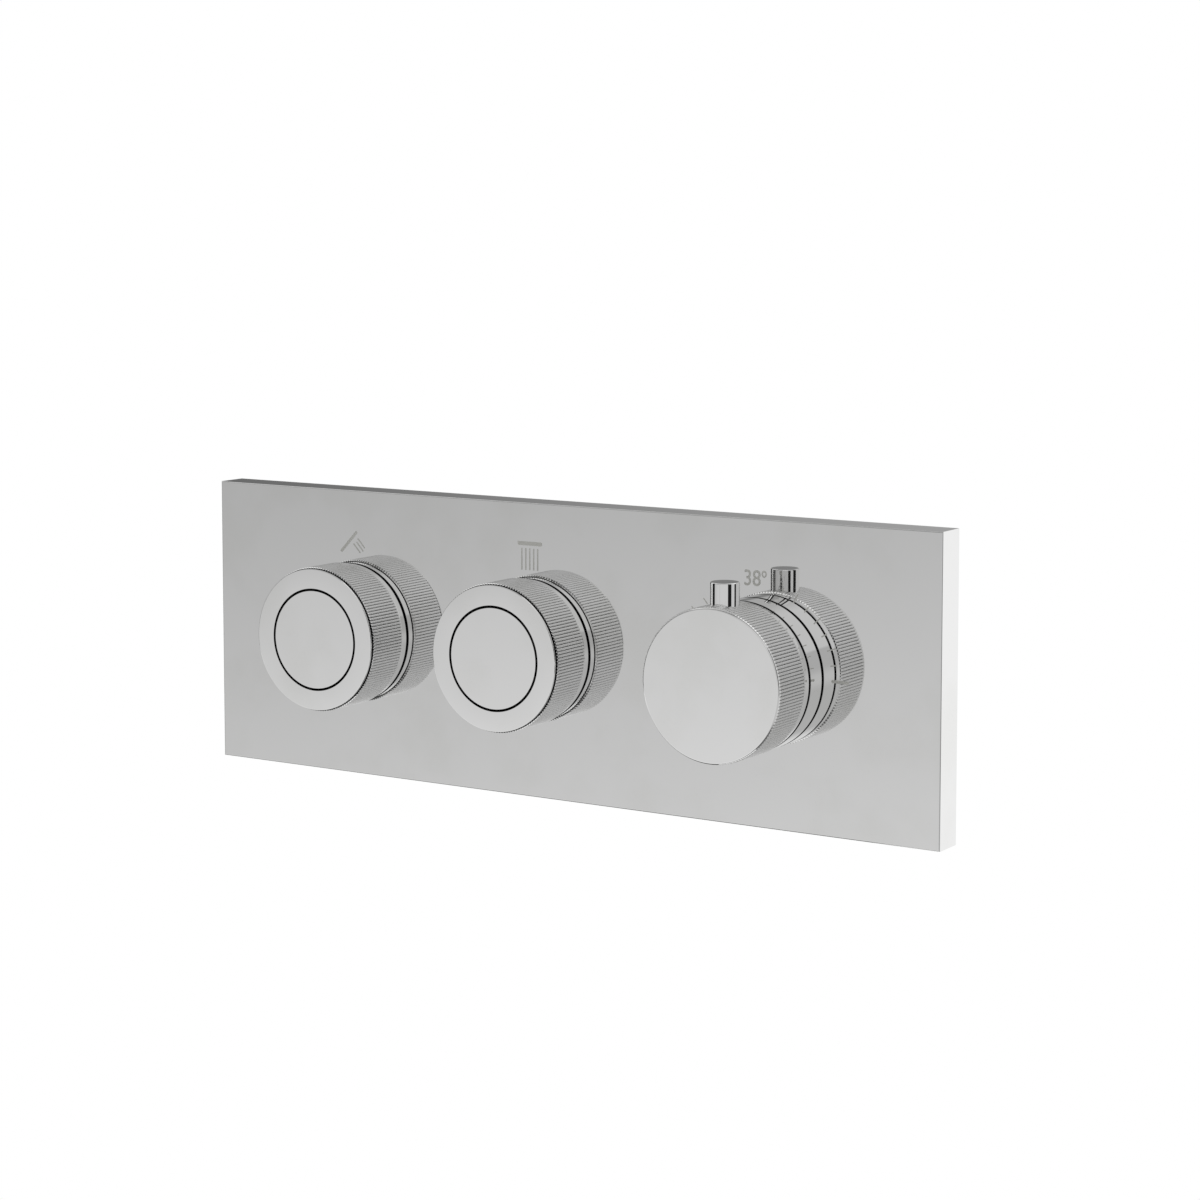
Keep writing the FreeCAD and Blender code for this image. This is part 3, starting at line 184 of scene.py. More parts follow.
lamp_data = bpy.data.lights.new("soft_lamp", "AREA")
lamp_data.size = 0.9
lamp_data.energy = 7
lamp = bpy.data.objects.new("soft_lamp", lamp_data)
lamp.location = (-0.5, -0.9, 1.1)
lamp.visible_glossy = False
lamp.rotation_euler = (-lamp.location).to_track_quat("-Z", "Y").to_euler()
bpy.context.collection.objects.link(lamp)


# ---------------------------------------------------------------- floor
# A pale studio floor lies well below the valve, which is fixed to a wall. It shows white, and it is
# small, so that the chrome mirrors little of it.
class Finish(Board):
    """A new material with its Principled shader."""

    def __init__(self, name):
        self.surface = bpy.data.materials.new(name)
        self.surface.use_nodes = True
        super().__init__(self.surface.node_tree)
        self.shader = self.tree.nodes["Principled BSDF"]

    def takes(self, **values):
        """Links or sets sockets of the shader, each under its name, such as base_color."""
        for name, value in values.items():
            self.give(self.shader, name.replace("_", " ").title(), value)


floor_size, floor_level = 0.6, -0.9
bpy.ops.object.select_all(action="DESELECT")
bpy.ops.mesh.primitive_plane_add(size=floor_size, location=(0, 0, floor_level))
floor = bpy.context.object
floor.name = "studio_floor"
bpy.ops.object.transform_apply(location=True, rotation=True, scale=True)
floor_finish = Finish("studio_floor")
floor_finish.takes(base_color=(0.86, 0.86, 0.85, 1), roughness=0.9)
seen = floor_finish.node("LightPath", {}, [])
clear = seen.math("MAXIMUM", seen, seen.output("Is Glossy Ray"))
clear = clear.math("MAXIMUM", clear, seen.output("Is Transmission Ray"))
white = floor_finish.node("Emission", {}, [("Color", (1, 1, 1, 1)), ("Strength", 1.0)])
lit = Tone(floor_finish, floor_finish.shader.outputs[0])
pale = floor_finish.node("MixShader", {}, [(0, clear * 0.98), (1, lit), (2, white)])
floor_finish.give(floor_finish.tree.nodes["Material Output"], "Surface", pale)
floor.data.materials.append(floor_finish.surface)


# ---------------------------------------------------------------- face plate
# A drawn brass tray, polished flat and chrome plated. The CAD plate keeps its shape and gets the
# plating, which is mirror-bright with faint wiping marks and a slow wave left by the polishing.
MM = 0.001
per_mm = 1 / MM


def noise(finish, scale, detail):
    """Cloudy noise through the solid, with this many waves to the metre."""
    place = finish.node("TexCoord", {}, [], "Object")
    return finish.node("TexNoise", {}, [("Vector", place), ("Scale", scale), ("Detail", detail)])


def mixed(finish, share, first, second):
    """The first colour, the second where share is one, and between them elsewhere."""
    return finish.node("Mix", {"data_type": "RGBA"}, [(0, share), (6, first), (7, second)], 2)


def raised(finish, height, strength, distance):
    """A bump of this height for the shader's Normal."""
    values = [("Strength", strength), ("Distance", distance), ("Height", height)]
    return finish.node("Bump", {}, values)


def wears(slot, finish):
    """Gives every CAD node of this material slot the finish."""
    for part in frame["record"]["subparts"]:
        if part["material_slot"] == slot:
            for place in frame["nodes"][part["node"]].material_slots:
                place.material = finish.surface


def chrome(slot, shade, axes=(), painted_shade_bands=(), ribs=None):
    """Chrome plating of this shade, on the CAD nodes of the slot and on what replaces them.

    A painted shade band is a range of radius about the nearest axis and a range of distance out of the
    wall, where the plating is painted nearly black as painted shade for the gaps, grooves and chamfers
    that the band covers. Ribs are given in the same way, and their painted shade is darkest at their
    roots and grows lighter towards their crowns."""
    finish = Finish(slot)
    film = noise(finish, 38.0, 5.0).ease(0.42, 0.68)
    speck = noise(finish, 900.0, 2.0).ease(0.66, 0.74)
    clean = (shade, shade, shade * 0.997, 1)
    filmed = (shade * 0.965, shade * 0.965, shade * 0.955, 1)
    colour = mixed(finish, film, clean, filmed)
    roughness = film * 0.03 + speck * 0.05 + 0.02
    if painted_shade_bands:
        spot = finish.node("SeparateXYZ", {}, [(0, finish.node("TexCoord", {}, [], "Object"))])
        offsets = [(spot * per_mm - x).math("ABSOLUTE", spot * per_mm - x) for x in axes]
        aside = offsets[0].math("MINIMUM", offsets[0], offsets[-1])
        up = spot.output("Z") * per_mm
        radius = up.math("SQRT", aside * aside + up * up)
        out = spot.output("Y") * -per_mm
        # Painted shade: a mask that is one inside each band, standing for the shadow in the gap,
        # groove or chamfer there.
        shadow = sum(
            radius.band(inner, outer, 0.03) * out.band(back, front, 0.04)
            for inner, outer, back, front in painted_shade_bands
        )
        if ribs:
            root, crown, back, front = ribs
            # Painted shade on the knurl: dark at the rib roots and lighter at the crowns, standing for
            # the shadow between the ribs.
            ribbed = out.band(back, front, 0.04) * radius.ease(root - 0.1, root)
            shadow = radius.ease(root, crown, 0.42, 0.05) * ribbed + shadow
            roughness = ribbed * 0.2 + roughness
        # Painted shade: where the mask is one, the plating colour is mixed to near-black.
        colour = mixed(finish, shadow, colour, (0.012, 0.012, 0.013, 1))
        roughness = shadow * 0.3 + roughness
    wave = raised(finish, noise(finish, 16.0, 1.0) * 0.02, 0.12, MM)
    finish.takes(base_color=colour, roughness=roughness, metallic=1.0, normal=wave)
    wears(slot, finish)
    return finish


chrome("plate_chrome", 0.80)


# ---------------------------------------------------------------- printed marks
# Grey screen printing on the plate, a few hundredths of a millimetre thick: a hand shower, an
# overhead shower, the safe temperature, and a scale of ticks round the temperature knob.
print_thick = 0.04
plate_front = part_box("face_plate")[0][1] * per_mm
print_middle = plate_front - print_thick / 2
print_grey = Finish("print_grey")
grain = noise(print_grey, 2600.0, 3.0)
print_colour = mixed(print_grey, grain, (0.46, 0.46, 0.43, 1), (0.58, 0.58, 0.55, 1))
print_grey.takes(base_color=print_colour, roughness=grain * 0.2 + 0.45)


def bar(x, z, length, width, angle, round_ends=False):
    """One printed stroke with its middle at x, z, turned by the angle from level."""
    bpy.ops.mesh.primitive_plane_add(
        size=1,
        location=(x * MM, print_middle * MM, z * MM),
        rotation=(math.pi / 2, -math.radians(angle), 0),
    )
    stroke = bpy.context.object
    stroke.scale = (length * MM, width * MM, 1)
    bpy.ops.object.transform_apply(location=True, rotation=True, scale=True)
    bpy.ops.object.mode_set(mode="EDIT")
    bpy.ops.mesh.select_all(action="SELECT")
    if round_ends:
        bpy.ops.mesh.bevel(offset=width * 0.36 * MM, segments=4, affect="VERTICES")
    bpy.ops.mesh.select_all(action="SELECT")
    bpy.ops.mesh.extrude_region_move(TRANSFORM_OT_translate={"value": (0, print_thick * MM, 0)})
    bpy.ops.mesh.select_all(action="SELECT")
    bpy.ops.mesh.normals_make_consistent(inside=False)
    bpy.ops.object.mode_set(mode="OBJECT")
    return stroke


def figures(text, left, right, bottom, top):
    """Printed figures that fill these bounds."""
    bpy.ops.object.select_all(action="DESELECT")
    bpy.ops.object.text_add(rotation=(math.pi / 2, 0, 0))
    letters = bpy.context.object
    letters.data.body = text
    letters.data.size = 8.6 * MM
    letters.data.extrude = print_thick / 2 * MM
    letters.data.offset = 0.07 * MM
    bpy.ops.object.convert(target="MESH")
    letters = bpy.context.object
    bpy.ops.object.transform_apply(location=True, rotation=True, scale=True)
    low = [min(v.co[i] for v in letters.data.vertices) for i in range(3)]
    high = [max(v.co[i] for v in letters.data.vertices) for i in range(3)]
    wide = (right - left) * MM / (high[0] - low[0])
    tall = (top - bottom) * MM / (high[2] - low[2])
    letters.scale = (wide, 1, tall)
    letters.location = (
        left * MM - low[0] * wide,
        print_middle * MM,
        bottom * MM - low[2] * tall,
    )
    bpy.ops.object.transform_apply(location=True, rotation=True, scale=True)
    bpy.ops.object.mode_set(mode="EDIT")
    bpy.ops.mesh.select_all(action="SELECT")
    bpy.ops.mesh.remove_doubles(threshold=0.0005 * MM)
    bpy.ops.object.mode_set(mode="OBJECT")
    return letters


def joined(strokes, name, finish, body):
    """Joins pieces to one object of this name and finish, which rides on the body."""
    bpy.ops.object.select_all(action="DESELECT")
    for stroke in strokes:
        stroke.select_set(True)
    bpy.context.view_layer.objects.active = strokes[0]
    if len(strokes) > 1:
        bpy.ops.object.join()
    whole = bpy.context.object
    whole.name = name
    whole.data.materials.clear()
    whole.data.materials.append(finish.surface)
    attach(whole, body)
    return whole


def turned_sizes(node):
    """Axis, radius, back and front of a turned CAD node, the last two out of the wall."""
    low, high = (Vector(corner) * per_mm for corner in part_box(node))
    sizes = ((low.x + high.x) / 2, (high.x - low.x) / 2, -high.y, -low.y)
    return [round(size, 2) for size in sizes]


knob_x, knurl_r, knob_back, knob_front = turned_sizes("temperature_knob")
fixed_body = "wall_set"
bpy.ops.object.select_all(action="DESELECT")
tick_in, tick_short, tick_long = 27.7, 30.0, 31.0
mark_end = 33.9
ticks = []
for angle in (10, 20, 30, 40, 50, 60, 70, 130, 140):
    tick_out = tick_short if angle % 20 else tick_long
    middle = (tick_in + tick_out) / 2
    across, up = math.cos(math.radians(angle)), math.sin(math.radians(angle))
    ticks.append(bar(knob_x + middle * across, middle * up, tick_out - tick_in, 0.4, angle))
for side in (-1, 1):
    middle = (tick_in + mark_end) / 2
    ticks.append(bar(knob_x + middle * side, 0, mark_end - tick_in, 1.0, 0, True))
joined(ticks, "temperature_scale_print", print_grey, fixed_body)

jet_width = 0.5
hand_tilt = 46.5
hand_icon = [bar(-85.85, 31.9, 10.2, 1.05, hand_tilt, True)]
for x, z in ((-80.5, 31.6), (-81.1, 30.4), (-82.4, 29.75)):
    hand_icon.append(bar(x, z, 4.4, jet_width, -hand_tilt))
joined(hand_icon, "hand_shower_print", print_grey, fixed_body)

rain_x, rain_step = -9.55, 1.6
rain_icon = [bar(rain_x, 36.2, 9.9, 1.35, 0, True)]
for place in (-2, -1, 0, 1, 2):
    rain_icon.append(bar(rain_x + place * rain_step, 30.9, 7.4, jet_width, 90))
joined(rain_icon, "overhead_shower_print", print_grey, fixed_body)

figures_top = 33.5
safe_mark = [
    figures("38", 73.4, 79.4, 28.3, figures_top),
    figures("°", 79.75, 81.6, 31.2, figures_top),
]
joined(safe_mark, "safe_temperature_print", print_grey, fixed_body)


# ---------------------------------------------------------------- collars and their washers
# Each button stands on a turned brass collar, screwed over the valve's neck and chrome plated. A
# black rubber washer under it keeps water out and shows as a dark line on the plate.
def lathe(name, outline, x=0, facets=256, disc=False):
    """Turns a piece about the axis at x: one ring of edges, then an extrusion for each further point.

    A point is a radius and a distance out of the wall. A disc is closed by a face at either end, and
    anything else is a ring, whose outline comes back to its first point."""
    bpy.ops.object.select_all(action="DESELECT")
    points = outline if disc else outline + outline[:1]
    radius, out = points[0]
    bpy.ops.mesh.primitive_circle_add(
        vertices=facets,
        radius=radius * MM,
        location=(x * MM, -out * MM, 0),
        rotation=(math.pi / 2, 0, 0),
    )
    bpy.ops.object.transform_apply(location=True, rotation=True, scale=True)
    piece = bpy.context.object
    piece.name = name
    bpy.ops.object.mode_set(mode="EDIT")
    bpy.ops.mesh.select_all(action="SELECT")
    for next_radius, next_out in points[1:]:
        bpy.ops.mesh.extrude_region_move(
            TRANSFORM_OT_translate={"value": (0, (out - next_out) * MM, 0)}
        )
        growth = next_radius / radius
        bpy.ops.transform.resize(
            value=(growth, 1, growth), center_override=(x * MM, -next_out * MM, 0)
        )
        radius, out = next_radius, next_out
    bpy.ops.mesh.select_all(action="SELECT")
    bpy.ops.mesh.remove_doubles(threshold=0.001 * MM)
    if disc:
        bpy.ops.mesh.fill_holes(sides=0)
    bpy.ops.mesh.select_all(action="SELECT")
    bpy.ops.mesh.normals_make_consistent(inside=False)
    bpy.ops.object.mode_set(mode="OBJECT")
    return piece


def arc(middle_r, middle_out, r, start, end, parts):
    """The points of a round edge about its middle, between two angles.

    An edge that faces away from the axis is at 0, and one that faces out of the wall is at 90."""
    angles = [math.radians(start + (end - start) * step / parts) for step in range(parts + 1)]
    return [(middle_r + r * math.cos(turn), middle_out + r * math.sin(turn)) for turn in angles]


def smooth(piece, angle=30):
    """Shades the curved faces smooth and keeps the flat ones flat up to their rounded edges."""
    bpy.ops.object.select_all(action="DESELECT")
    piece.select_set(True)
    bpy.context.view_layer.objects.active = piece
    bpy.ops.object.shade_smooth_by_angle(angle=math.radians(angle))
    piece.modifiers.new("flat_faces", "WEIGHTED_NORMAL").keep_sharp = True
    bpy.ops.object.modifier_apply(modifier="flat_faces")


def replace(node, piece, finish):
    """The piece stands for this CAD node, rides on its body and has its material slot."""
    bodies = frame["record"]["behaviour"]["bodies"]
    body = next(name for name, held in bodies.items() if node in held)
    joined([piece], piece.name, finish, body)
    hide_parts(node)


def copied(piece, shift):
    """A copy of the piece with its own mesh, this many millimetres further along the wall."""
    bpy.ops.object.select_all(action="DESELECT")
    piece.select_set(True)
    bpy.context.view_layer.objects.active = piece
    bpy.ops.object.duplicate()
    twin = bpy.context.object
    twin.location.x = shift * MM
    bpy.ops.object.transform_apply(location=True, rotation=True, scale=True)
    return twin


def replace_both(node, piece, finish):
    """The piece stands for this node of the left control, and a copy for the middle control's."""
    twin = copied(piece, middle_x - left_x)
    twin.name = piece.name.replace("left", "middle")
    replace(node, piece, finish)
    replace(node.replace("left", "middle"), twin, finish)


rubber = Finish("black_rubber")
bloom = noise(rubber, 420.0, 4.0)
rubber.takes(
    base_color=mixed(rubber, bloom, (0.006, 0.006, 0.006, 1), (0.022, 0.022, 0.021, 1)),
    roughness=bloom * 0.2 + 0.55,
    normal=raised(rubber, bloom, 0.25, 0.05 * MM),
)
wears("black_rubber", rubber)
washer_front = 12.0


def washer(name, x, inner, outer):
    """A flat rubber washer between the plate and the collar or ring on it."""
    edge = 0.1
    back = -plate_front
    outline = [
        (inner, back), (outer - edge, back), (outer, back + edge),
        (outer, washer_front - edge), (outer - edge, washer_front), (inner, washer_front),
    ]
    piece = lathe(name, outline, x)
    smooth(piece)
    return piece


left_x, collar_r, collar_back, boss_front = turned_sizes("left_collar")
middle_x = turned_sizes("middle_collar")[0]
button_axes = [left_x, middle_x]
neck_r = 11.05
collar_edge = 0.2
collar_front = 14.6
collar_boss_r = 22.2
# Painted shade on the collar: under the sleeve's back edge, and at its own back edge over the washer.
under_sleeve = (22.0, 24.2, collar_front - 0.1, collar_front + 0.1)
over_washer = (13.0, 24.42, washer_front - 0.2, washer_front + 0.25)
collar_chrome = chrome("collar_chrome", 0.90, button_axes, [under_sleeve, over_washer])
replace_both("left_collar_seal", washer("left_collar_washer", left_x, 13.6, 23.3), rubber)
outline = [
    (neck_r, collar_back), (collar_r - collar_edge, collar_back),
    (collar_r, collar_back + collar_edge), (collar_r, collar_front - collar_edge),
    (collar_r - collar_edge, collar_front), (collar_boss_r, collar_front),
    (collar_boss_r, boss_front), (neck_r, boss_front),
]
collar = lathe("left_collar_turned", outline, left_x)
smooth(collar)
replace_both("left_collar", collar, collar_chrome)


# ---------------------------------------------------------------- flow sleeves
# The sleeve round each button sets the flow. It is turned brass with straight knurling pressed in,
# a smooth narrow rim in front with a groove behind it, and chrome plating over all.
rib_count = 148
rib_points = 6
rib_root = knurl_r - 0.4
rib_shoulder = knurl_r - 0.07
rib_crown = knurl_r - 0.01


def knurl(piece, x, back, front):
    """Presses straight ribs into the band of the piece between back and front."""
    bpy.ops.object.select_all(action="DESELECT")
    piece.select_set(True)
    bpy.context.view_layer.objects.active = piece
    bpy.ops.object.mode_set(mode="EDIT")
    bpy.ops.mesh.select_mode(type="VERT")
    turn = 2 * math.pi / (rib_count * rib_points)
    for phases, radius in (((0,), rib_root), ((1, 5), rib_shoulder), ((2, 4), rib_crown)):
        bpy.ops.mesh.select_all(action="DESELECT")
        mesh = bmesh.from_edit_mesh(piece.data)
        for corner in mesh.verts:
            across, up = corner.co.x * per_mm - x, corner.co.z * per_mm
            in_band = back - 0.01 < -corner.co.y * per_mm < front + 0.01
            if in_band and math.hypot(across, up) > knurl_r - 0.01:
                step = round(math.atan2(up, across) / turn)
                corner.select_set(step % rib_points in phases)
        mesh.select_flush_mode()
        bmesh.update_edit_mesh(piece.data)
        growth = radius / knurl_r
        bpy.ops.transform.resize(value=(growth, 1, growth), center_override=(x * MM, 0, 0))
    bpy.ops.object.mode_set(mode="OBJECT")


_, button_r, _, button_front = turned_sizes("left_button")
_, _, sleeve_back, sleeve_front = turned_sizes("left_flow_sleeve")
sleeve_in_r = 22.6
front_wall_back = sleeve_front - 2.5
bore_r = button_r + 0.5
rim_r = knurl_r - 0.5
knurl_back, knurl_front = sleeve_back + 0.5, sleeve_front - 1.5
groove_r, groove_back, groove_front = rim_r - 0.4, sleeve_front - 0.95, sleeve_front - 0.65
rim_edge = 0.2
# Painted shade on the sleeve: over the groove and the chamfer in front of it, round the bore beside
# the button's gap, at its back edge, and on the knurl, dark at the rib roots.
groove = (sleeve_in_r, knurl_r - 0.14, knurl_front + 0.2, groove_front + 0.05)
round_button = (button_r - 0.1, bore_r + 0.18, 25.0, 33.0)
behind_sleeve = (22.0, rim_r - 0.08, sleeve_back - 0.2, sleeve_back + 0.06)
sleeve_chrome = chrome(
    "sleeve_chrome",
    0.93,
    button_axes,
    [groove, round_button, behind_sleeve],
    (rib_root, rib_crown, knurl_back + 0.1, knurl_front - 0.1),
)
outline = [
    (sleeve_in_r, sleeve_back), (rim_r - 0.1, sleeve_back), (rim_r, sleeve_back + 0.05),
    (knurl_r, knurl_back), (knurl_r, knurl_front), (rim_r, knurl_front + 0.5),
    (groove_r, groove_back), (groove_r, groove_front),
    (rim_r - 0.05, groove_front + 0.05), (rim_r, groove_front + 0.1),
]
outline += arc(rim_r - rim_edge, sleeve_front - rim_edge, rim_edge, 0, 90, 2)
outline += arc(bore_r + rim_edge, sleeve_front - rim_edge, rim_edge, 90, 180, 2)
outline += [(bore_r, front_wall_back), (sleeve_in_r, front_wall_back)]
sleeve = lathe("left_knurled_sleeve", outline, left_x, rib_count * rib_points)
knurl(sleeve, left_x, knurl_back, knurl_front)
smooth(sleeve, 25)
replace_both("left_flow_sleeve", sleeve, sleeve_chrome)


# ---------------------------------------------------------------- push buttons
# A pressed brass cap with a socket for the push rod inside, chrome plated and flush with the sleeve.
# A narrow gap runs round it, shown dark by painted shade on the cap's rim and in the sleeve's bore.
rod_r, socket_r, socket_back = 3.05, 5.0, 26.4
cap_inside = button_front - 2.5
skirt_in_r, skirt_back, skirt_edge = 15.6, 26.5, 0.05
button_edge = 0.25
# Painted shade round the cap's rim, for the shadow in the gap.
round_cap = (button_r - 0.18, button_r + 0.3, 20.0, 33.0)
button_chrome = chrome("button_chrome", 0.93, button_axes, [round_cap])
outline = [
    (rod_r, cap_inside + 0.1), (rod_r, socket_back), (socket_r, socket_back),
    (socket_r, cap_inside), (skirt_in_r, cap_inside), (skirt_in_r, skirt_back),
    (button_r - skirt_edge, skirt_back), (button_r, skirt_back + skirt_edge),
]
outline += arc(button_r - button_edge, button_front - button_edge, button_edge, 0, 90, 3)
button = lathe("left_push_button_cap", outline, left_x, disc=True)
smooth(button)
replace_both("left_button", button, button_chrome)


# ---------------------------------------------------------------- thermostat ring
# The fixed ring behind the temperature knob is turned and plated like the collars, but taller, and
# hollowed from behind.
_, ring_r, ring_back, ring_front = turned_sizes("thermostat_ring")
ring_bore_r = 13.05
hollow_in_r, hollow_out_r, hollow_front = 16.0, 22.2, 17.0
ring_edge = 0.4
# Painted shade on the ring: at its front edge under the knob's lip, and at its back edge over the
# washer.
under_knob = (13.0, ring_r - 0.03, ring_front - 0.4, ring_front + 0.1)
over_ring_washer = (13.0, 24.7, ring_back - 0.2, ring_back + 0.3)
ring_chrome = chrome("ring_chrome", 0.95, [knob_x], [under_knob, over_ring_washer])
replace("thermostat_ring_seal", washer("knob_ring_washer", knob_x, 16.0, 23.6), rubber)
outline = [
    (ring_bore_r, ring_back), (hollow_in_r, ring_back), (hollow_in_r, hollow_front),
    (hollow_out_r, hollow_front), (hollow_out_r, ring_back), (ring_r - 0.15, ring_back),
    (ring_r, ring_back + 0.15),
]
outline += arc(ring_r - ring_edge, ring_front - ring_edge, ring_edge, 0, 90, 3)
outline += [(ring_bore_r, ring_front)]
knob_ring = lathe("knob_ring_turned", outline, knob_x)
smooth(knob_ring)
replace("thermostat_ring", knob_ring, ring_chrome)


# ---------------------------------------------------------------- temperature knob
# A turned and knurled brass cup with a flat plated face. A smooth lip at its back stands next to the
# ring, and a bore through its top side holds the safety button.
lip_r, lip_edge, lip_front = ring_r, 0.4, 23.2
cup_r, cup_front = 20.5, knob_front - 2.2
knurl_back, knurl_front = lip_front + 0.5, knob_front - 1.0
face_edge = 0.6
face_r = knurl_r - 0.8
# Painted shade on the knob: at the back of its lip next to the ring, and on the knurl, dark at the rib
# roots.
behind_lip = (20.0, lip_r - 0.03, knob_back - 0.1, knob_back + 0.35)
knob_chrome = chrome(
    "knob_chrome",
    0.93,
    [knob_x],
    [behind_lip],
    (rib_root, rib_crown, knurl_back + 0.1, knurl_front - 0.1),
)
outline = [(0.5, cup_front), (cup_r, cup_front), (cup_r, knob_back)]
outline += arc(lip_r - lip_edge, knob_back + lip_edge, lip_edge, -90, 0, 2)
outline += [
    (lip_r, lip_front), (lip_r + 0.05, lip_front + 0.05), (knurl_r, knurl_back),
    (knurl_r, knurl_front),
]
outline += arc(face_r, knob_front - face_edge, face_edge, 17, 90, 3)
knob = lathe("knurled_temperature_knob", outline, knob_x, rib_count * rib_points, True)
knurl(knob, knob_x, knurl_back, knurl_front)

pin_low, pin_high = (Vector(corner) * per_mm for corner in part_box("override_button"))
pin_out = round(-(pin_low.y + pin_high.y) / 2, 2)
pin_r = 4.7
bpy.ops.object.select_all(action="DESELECT")
bpy.ops.mesh.primitive_cylinder_add(
    vertices=96,
    radius=(pin_r + 0.06) * MM,
    depth=10 * MM,
    location=(knob_x * MM, -pin_out * MM, 23.5 * MM),
)
drill = bpy.context.object
bpy.context.view_layer.objects.active = knob
bore = knob.modifiers.new("bore", "BOOLEAN")
bore.object = drill
bore.operation = "DIFFERENCE"
bore.solver = "EXACT"
bpy.ops.object.modifier_apply(modifier="bore")
bpy.data.objects.remove(drill)
smooth(knob, 25)
replace("temperature_knob", knob, knob_chrome)


# ---------------------------------------------------------------- safety button
# A short plated pin in the top of the knob, turned with a flange that keeps it in and a thin tail
# that guides its spring. It is pushed in to turn the knob past the safe mark.
pin_foot, pin_top = round(pin_low.z, 2), round(pin_high.z, 2)
tail_r, flange_r, flange_edge = 1.8, 5.4, 0.1
flange_low, flange_high = 17.9, 19.5
pin_edge = 0.4
pin_chrome = chrome("pin_chrome", 0.92)
outline = [
    (tail_r, pin_foot), (tail_r, flange_low), (flange_r - flange_edge, flange_low),
    (flange_r, flange_low + flange_edge), (flange_r, flange_high - flange_edge),
    (flange_r - flange_edge, flange_high), (pin_r, flange_high),
]
outline += arc(pin_r - pin_edge, pin_top - pin_edge, pin_edge, 0, 90, 4)
pin = lathe("safety_button", outline, facets=192, disc=True)
pin.rotation_euler = (-math.pi / 2, 0, 0)
pin.location = (knob_x * MM, -pin_out * MM, 0)
bpy.ops.object.transform_apply(location=True, rotation=True, scale=True)
smooth(pin)
replace("override_button", pin, pin_chrome)


# ---------------------------------------------------------------- brass behind the wall
# The valve body is sand-cast brass with machined ports. Cartridges, stems, seats and the plug are
# turned from bar, and the wax element is copper. None of it is plated, so it is dull and stained.
def raw_metal(slot, light, dark, rough, grain_scale, relief, turning=None):
    """Bare metal between two colours, with a grain in its skin and, if turned, fine tool marks."""
    finish = Finish(slot)
    stain = noise(finish, 45.0, 6.0)
    skin = noise(finish, grain_scale, 4.0)
    shade = stain.ease(0.35, 0.70) * 0.7 + skin * 0.3
    height = skin
    if turning:
        spot = finish.node("SeparateXYZ", {}, [(0, finish.node("TexCoord", {}, [], "Object"))])
        along = spot.output("Y") * (2 * math.pi / turning)
        height = along.math("SINE", along) * 0.35 + skin * 0.3
    finish.takes(
        base_color=mixed(finish, shade, (*light, 1), (*dark, 1)),
        roughness=shade * 0.18 + rough,
        metallic=1.0,
        normal=raised(finish, height, 0.6, relief * MM),
    )
    wears(slot, finish)
    return finish


tool_pitch = 0.4 * MM
raw_metal("cast_brass", (0.62, 0.46, 0.22), (0.50, 0.36, 0.16), 0.36, 900.0, 0.30)
raw_metal("turned_brass", (0.75, 0.56, 0.27), (0.58, 0.42, 0.19), 0.22, 1500.0, 0.02, tool_pitch)
raw_metal("copper_alloy", (0.72, 0.40, 0.26), (0.50, 0.26, 0.16), 0.28, 1200.0, 0.02, tool_pitch)


# ---------------------------------------------------------------- steel frame and screws
# The carrier frame is folded from galvanised sheet, whose zinc has large faint crystals. The screws,
# the strainers and the push rods are zinc plated too.
zinc = Finish("zinc_steel")
zinc_place = zinc.node("TexCoord", {}, [], "Object")
spangle = zinc.node("TexVoronoi", {}, [("Vector", zinc_place), ("Scale", 160.0)], "Color")
crystal = zinc.node("SeparateColor", {}, [(0, spangle)])
zinc_grain = noise(zinc, 1400.0, 3.0)
zinc.takes(
    base_color=mixed(zinc, crystal, (0.50, 0.51, 0.53, 1), (0.66, 0.67, 0.68, 1)),
    roughness=crystal * 0.15 + zinc_grain * 0.1 + 0.28,
    metallic=1.0,
    normal=raised(zinc, zinc_grain, 0.3, 0.02 * MM),
)
wears("zinc_steel", zinc)


# ---------------------------------------------------------------- springs
# Wound from round stainless wire. Each stands on its seat under the button, the pin, the poppet or the
# shuttle that leans on it, and is made at its full length.
wire_steel = raw_metal("spring_steel", (0.60, 0.60, 0.58), (0.42, 0.42, 0.41), 0.25, 2600.0, 0.01)


def stance(node, outward):
    """A spring's foot, its direction and its length. It is upright or points out of the wall."""
    low, high = (Vector(corner) * per_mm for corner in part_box(node))
    foot = (low + high) / 2
    if outward:
        foot.y = high.y
        return foot, Vector((0, -1, 0)), high.y - low.y
    foot.z = low.z
    return foot, Vector((0, 0, 1)), high.z - low.z


def wound(node, wire_r, turns, outward=False):
    """A coil of round wire that fills its node's box."""
    foot, _, span = stance(node, outward)
    low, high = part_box(node)
    coil_r = (high[0] - low[0]) / 2 * per_mm - wire_r
    bpy.ops.object.select_all(action="DESELECT")
    bpy.ops.mesh.primitive_circle_add(
        vertices=14,
        radius=wire_r * MM,
        location=(coil_r * MM, 0, wire_r * MM),
        rotation=(math.pi / 2, 0, 0),
    )
    bpy.ops.object.transform_apply(location=True, rotation=True, scale=True)
    coil = bpy.context.object
    winding = coil.modifiers.new("winding", "SCREW")
    winding.iterations = turns
    winding.screw_offset = (span - 2 * wire_r) / turns * MM
    winding.steps = winding.render_steps = 40
    bpy.ops.object.modifier_apply(modifier="winding")
    bpy.ops.object.mode_set(mode="EDIT")
    bpy.ops.mesh.select_all(action="SELECT")
    bpy.ops.mesh.fill_holes(sides=0)
    bpy.ops.mesh.select_all(action="SELECT")
    bpy.ops.mesh.normals_make_consistent(inside=False)
    bpy.ops.object.mode_set(mode="OBJECT")
    if outward:
        coil.rotation_euler = (math.pi / 2, 0, 0)
    coil.location = foot * MM
    bpy.ops.object.transform_apply(location=True, rotation=True, scale=True)
    smooth(coil)
    return coil


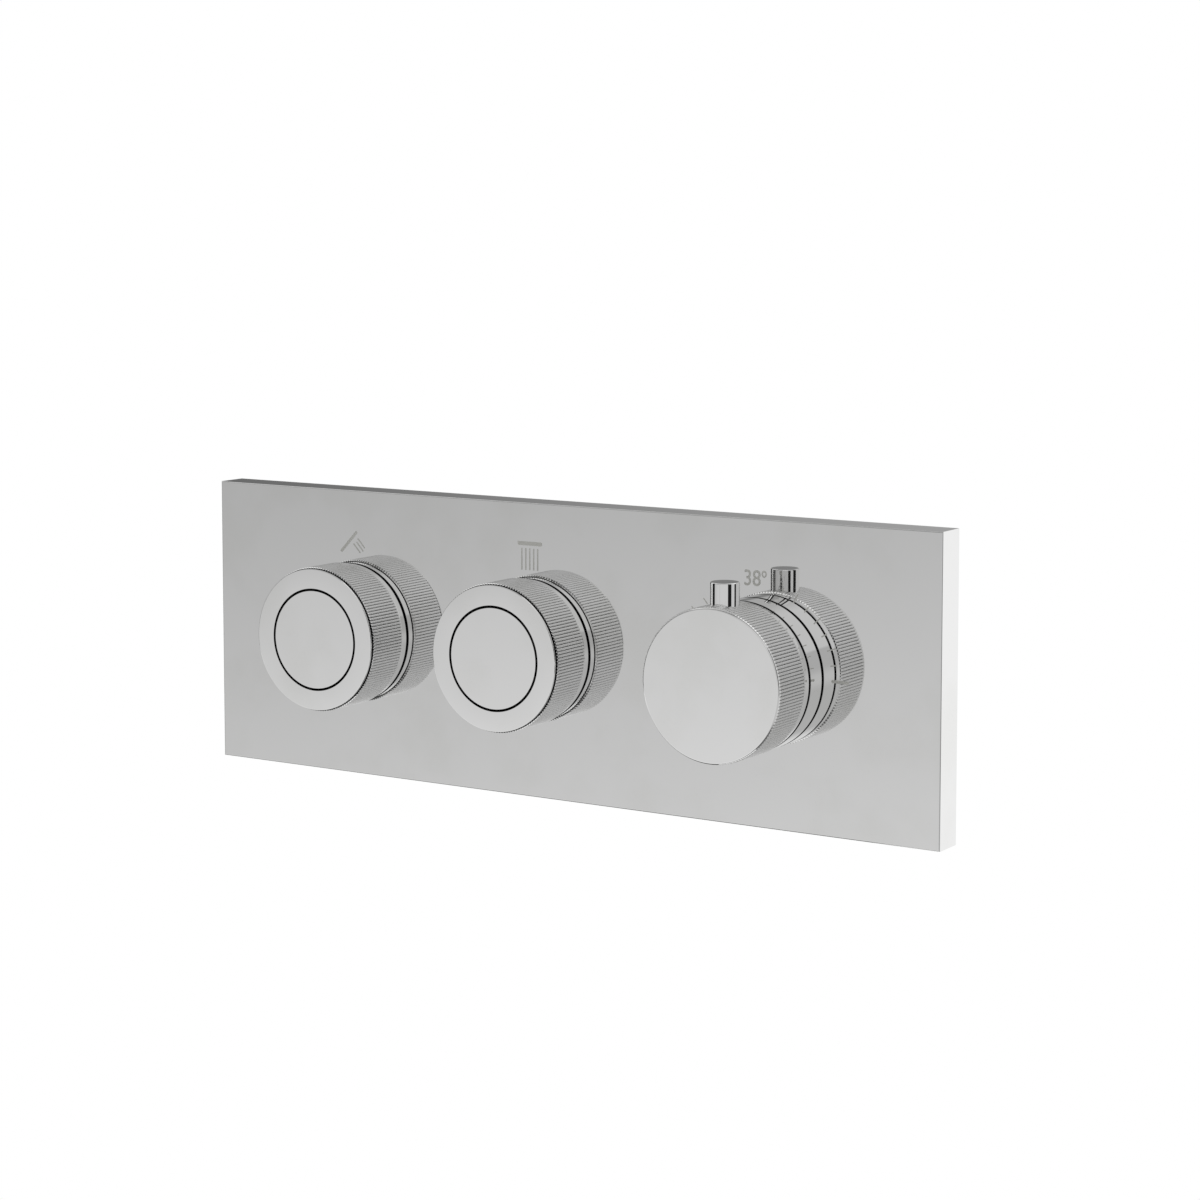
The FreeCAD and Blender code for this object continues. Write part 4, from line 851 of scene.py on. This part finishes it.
def pressed(node, coil, joint, outward=False, hung=False):
    """The coil stands for its node and gets a mesh of its own."""
    coil.name = node + "_wire"
    replace(node, coil, wire_steel)
    foot, along, span = stance(node, outward)
    joints = frame["record"]["behaviour"]["joints"]
    travel = next(found["range_m"][1] for found in joints if found["name"] == joint) * per_mm
    held_end = foot + along * span if hung else foot
    tuple(held_end * MM)
    1 - travel / span
    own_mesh(coil)


button_coil = wound("left_button_spring", 0.35, 3, outward=True)
button_twin = copied(button_coil, middle_x - left_x)
pressed("left_button_spring", button_coil, "left_button_press", outward=True)
pressed("middle_button_spring", button_twin, "middle_button_press", outward=True)
pressed("override_spring", wound("override_spring", 0.3, 4), "override_press")
return_coil = wound("return_spring", 0.5, 4, outward=True)
pressed("return_spring", return_coil, "mixing_slide", outward=True)
check_coil = wound("hot_check_spring", 0.25, 3)
inlets_apart = (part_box("cold_check_spring")[0][0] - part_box("hot_check_spring")[0][0]) * per_mm
check_twin = copied(check_coil, inlets_apart)
pressed("hot_check_spring", check_coil, "hot_check_lift", hung=True)
pressed("cold_check_spring", check_twin, "cold_check_lift", hung=True)


# ---------------------------------------------------------------- foam and plastics
# The rim seal is closed-cell grey foam. Drivers, adapter, stop ring and check valves are moulded in
# glass-filled nylon, and the check poppets and the mixing shuttle in white acetal.
def moulded(slot, light, dark, rough, scale, relief, pattern="TexNoise"):
    """A non-metal in two close shades, with a fine raised pattern of grain or of cut cells."""
    finish = Finish(slot)
    place = finish.node("TexCoord", {}, [], "Object")
    skin = finish.node(pattern, {}, [("Vector", place), ("Scale", scale)])
    shade = noise(finish, 60.0, 4.0) * 0.6 + skin * 0.4
    finish.takes(
        base_color=mixed(finish, shade, (*light, 1), (*dark, 1)),
        roughness=skin * 0.15 + rough,
        normal=raised(finish, skin, 0.5, relief * MM),
    )
    wears(slot, finish)


foam_light, foam_dark = (0.14, 0.14, 0.145), (0.07, 0.07, 0.075)
moulded("grey_foam", foam_light, foam_dark, 0.85, 1800.0, 0.15, "TexVoronoi")
moulded("dark_plastic", (0.030, 0.030, 0.032), (0.016, 0.016, 0.017), 0.42, 2200.0, 0.03)
moulded("white_plastic", (0.80, 0.79, 0.76), (0.70, 0.69, 0.65), 0.35, 2200.0, 0.02)
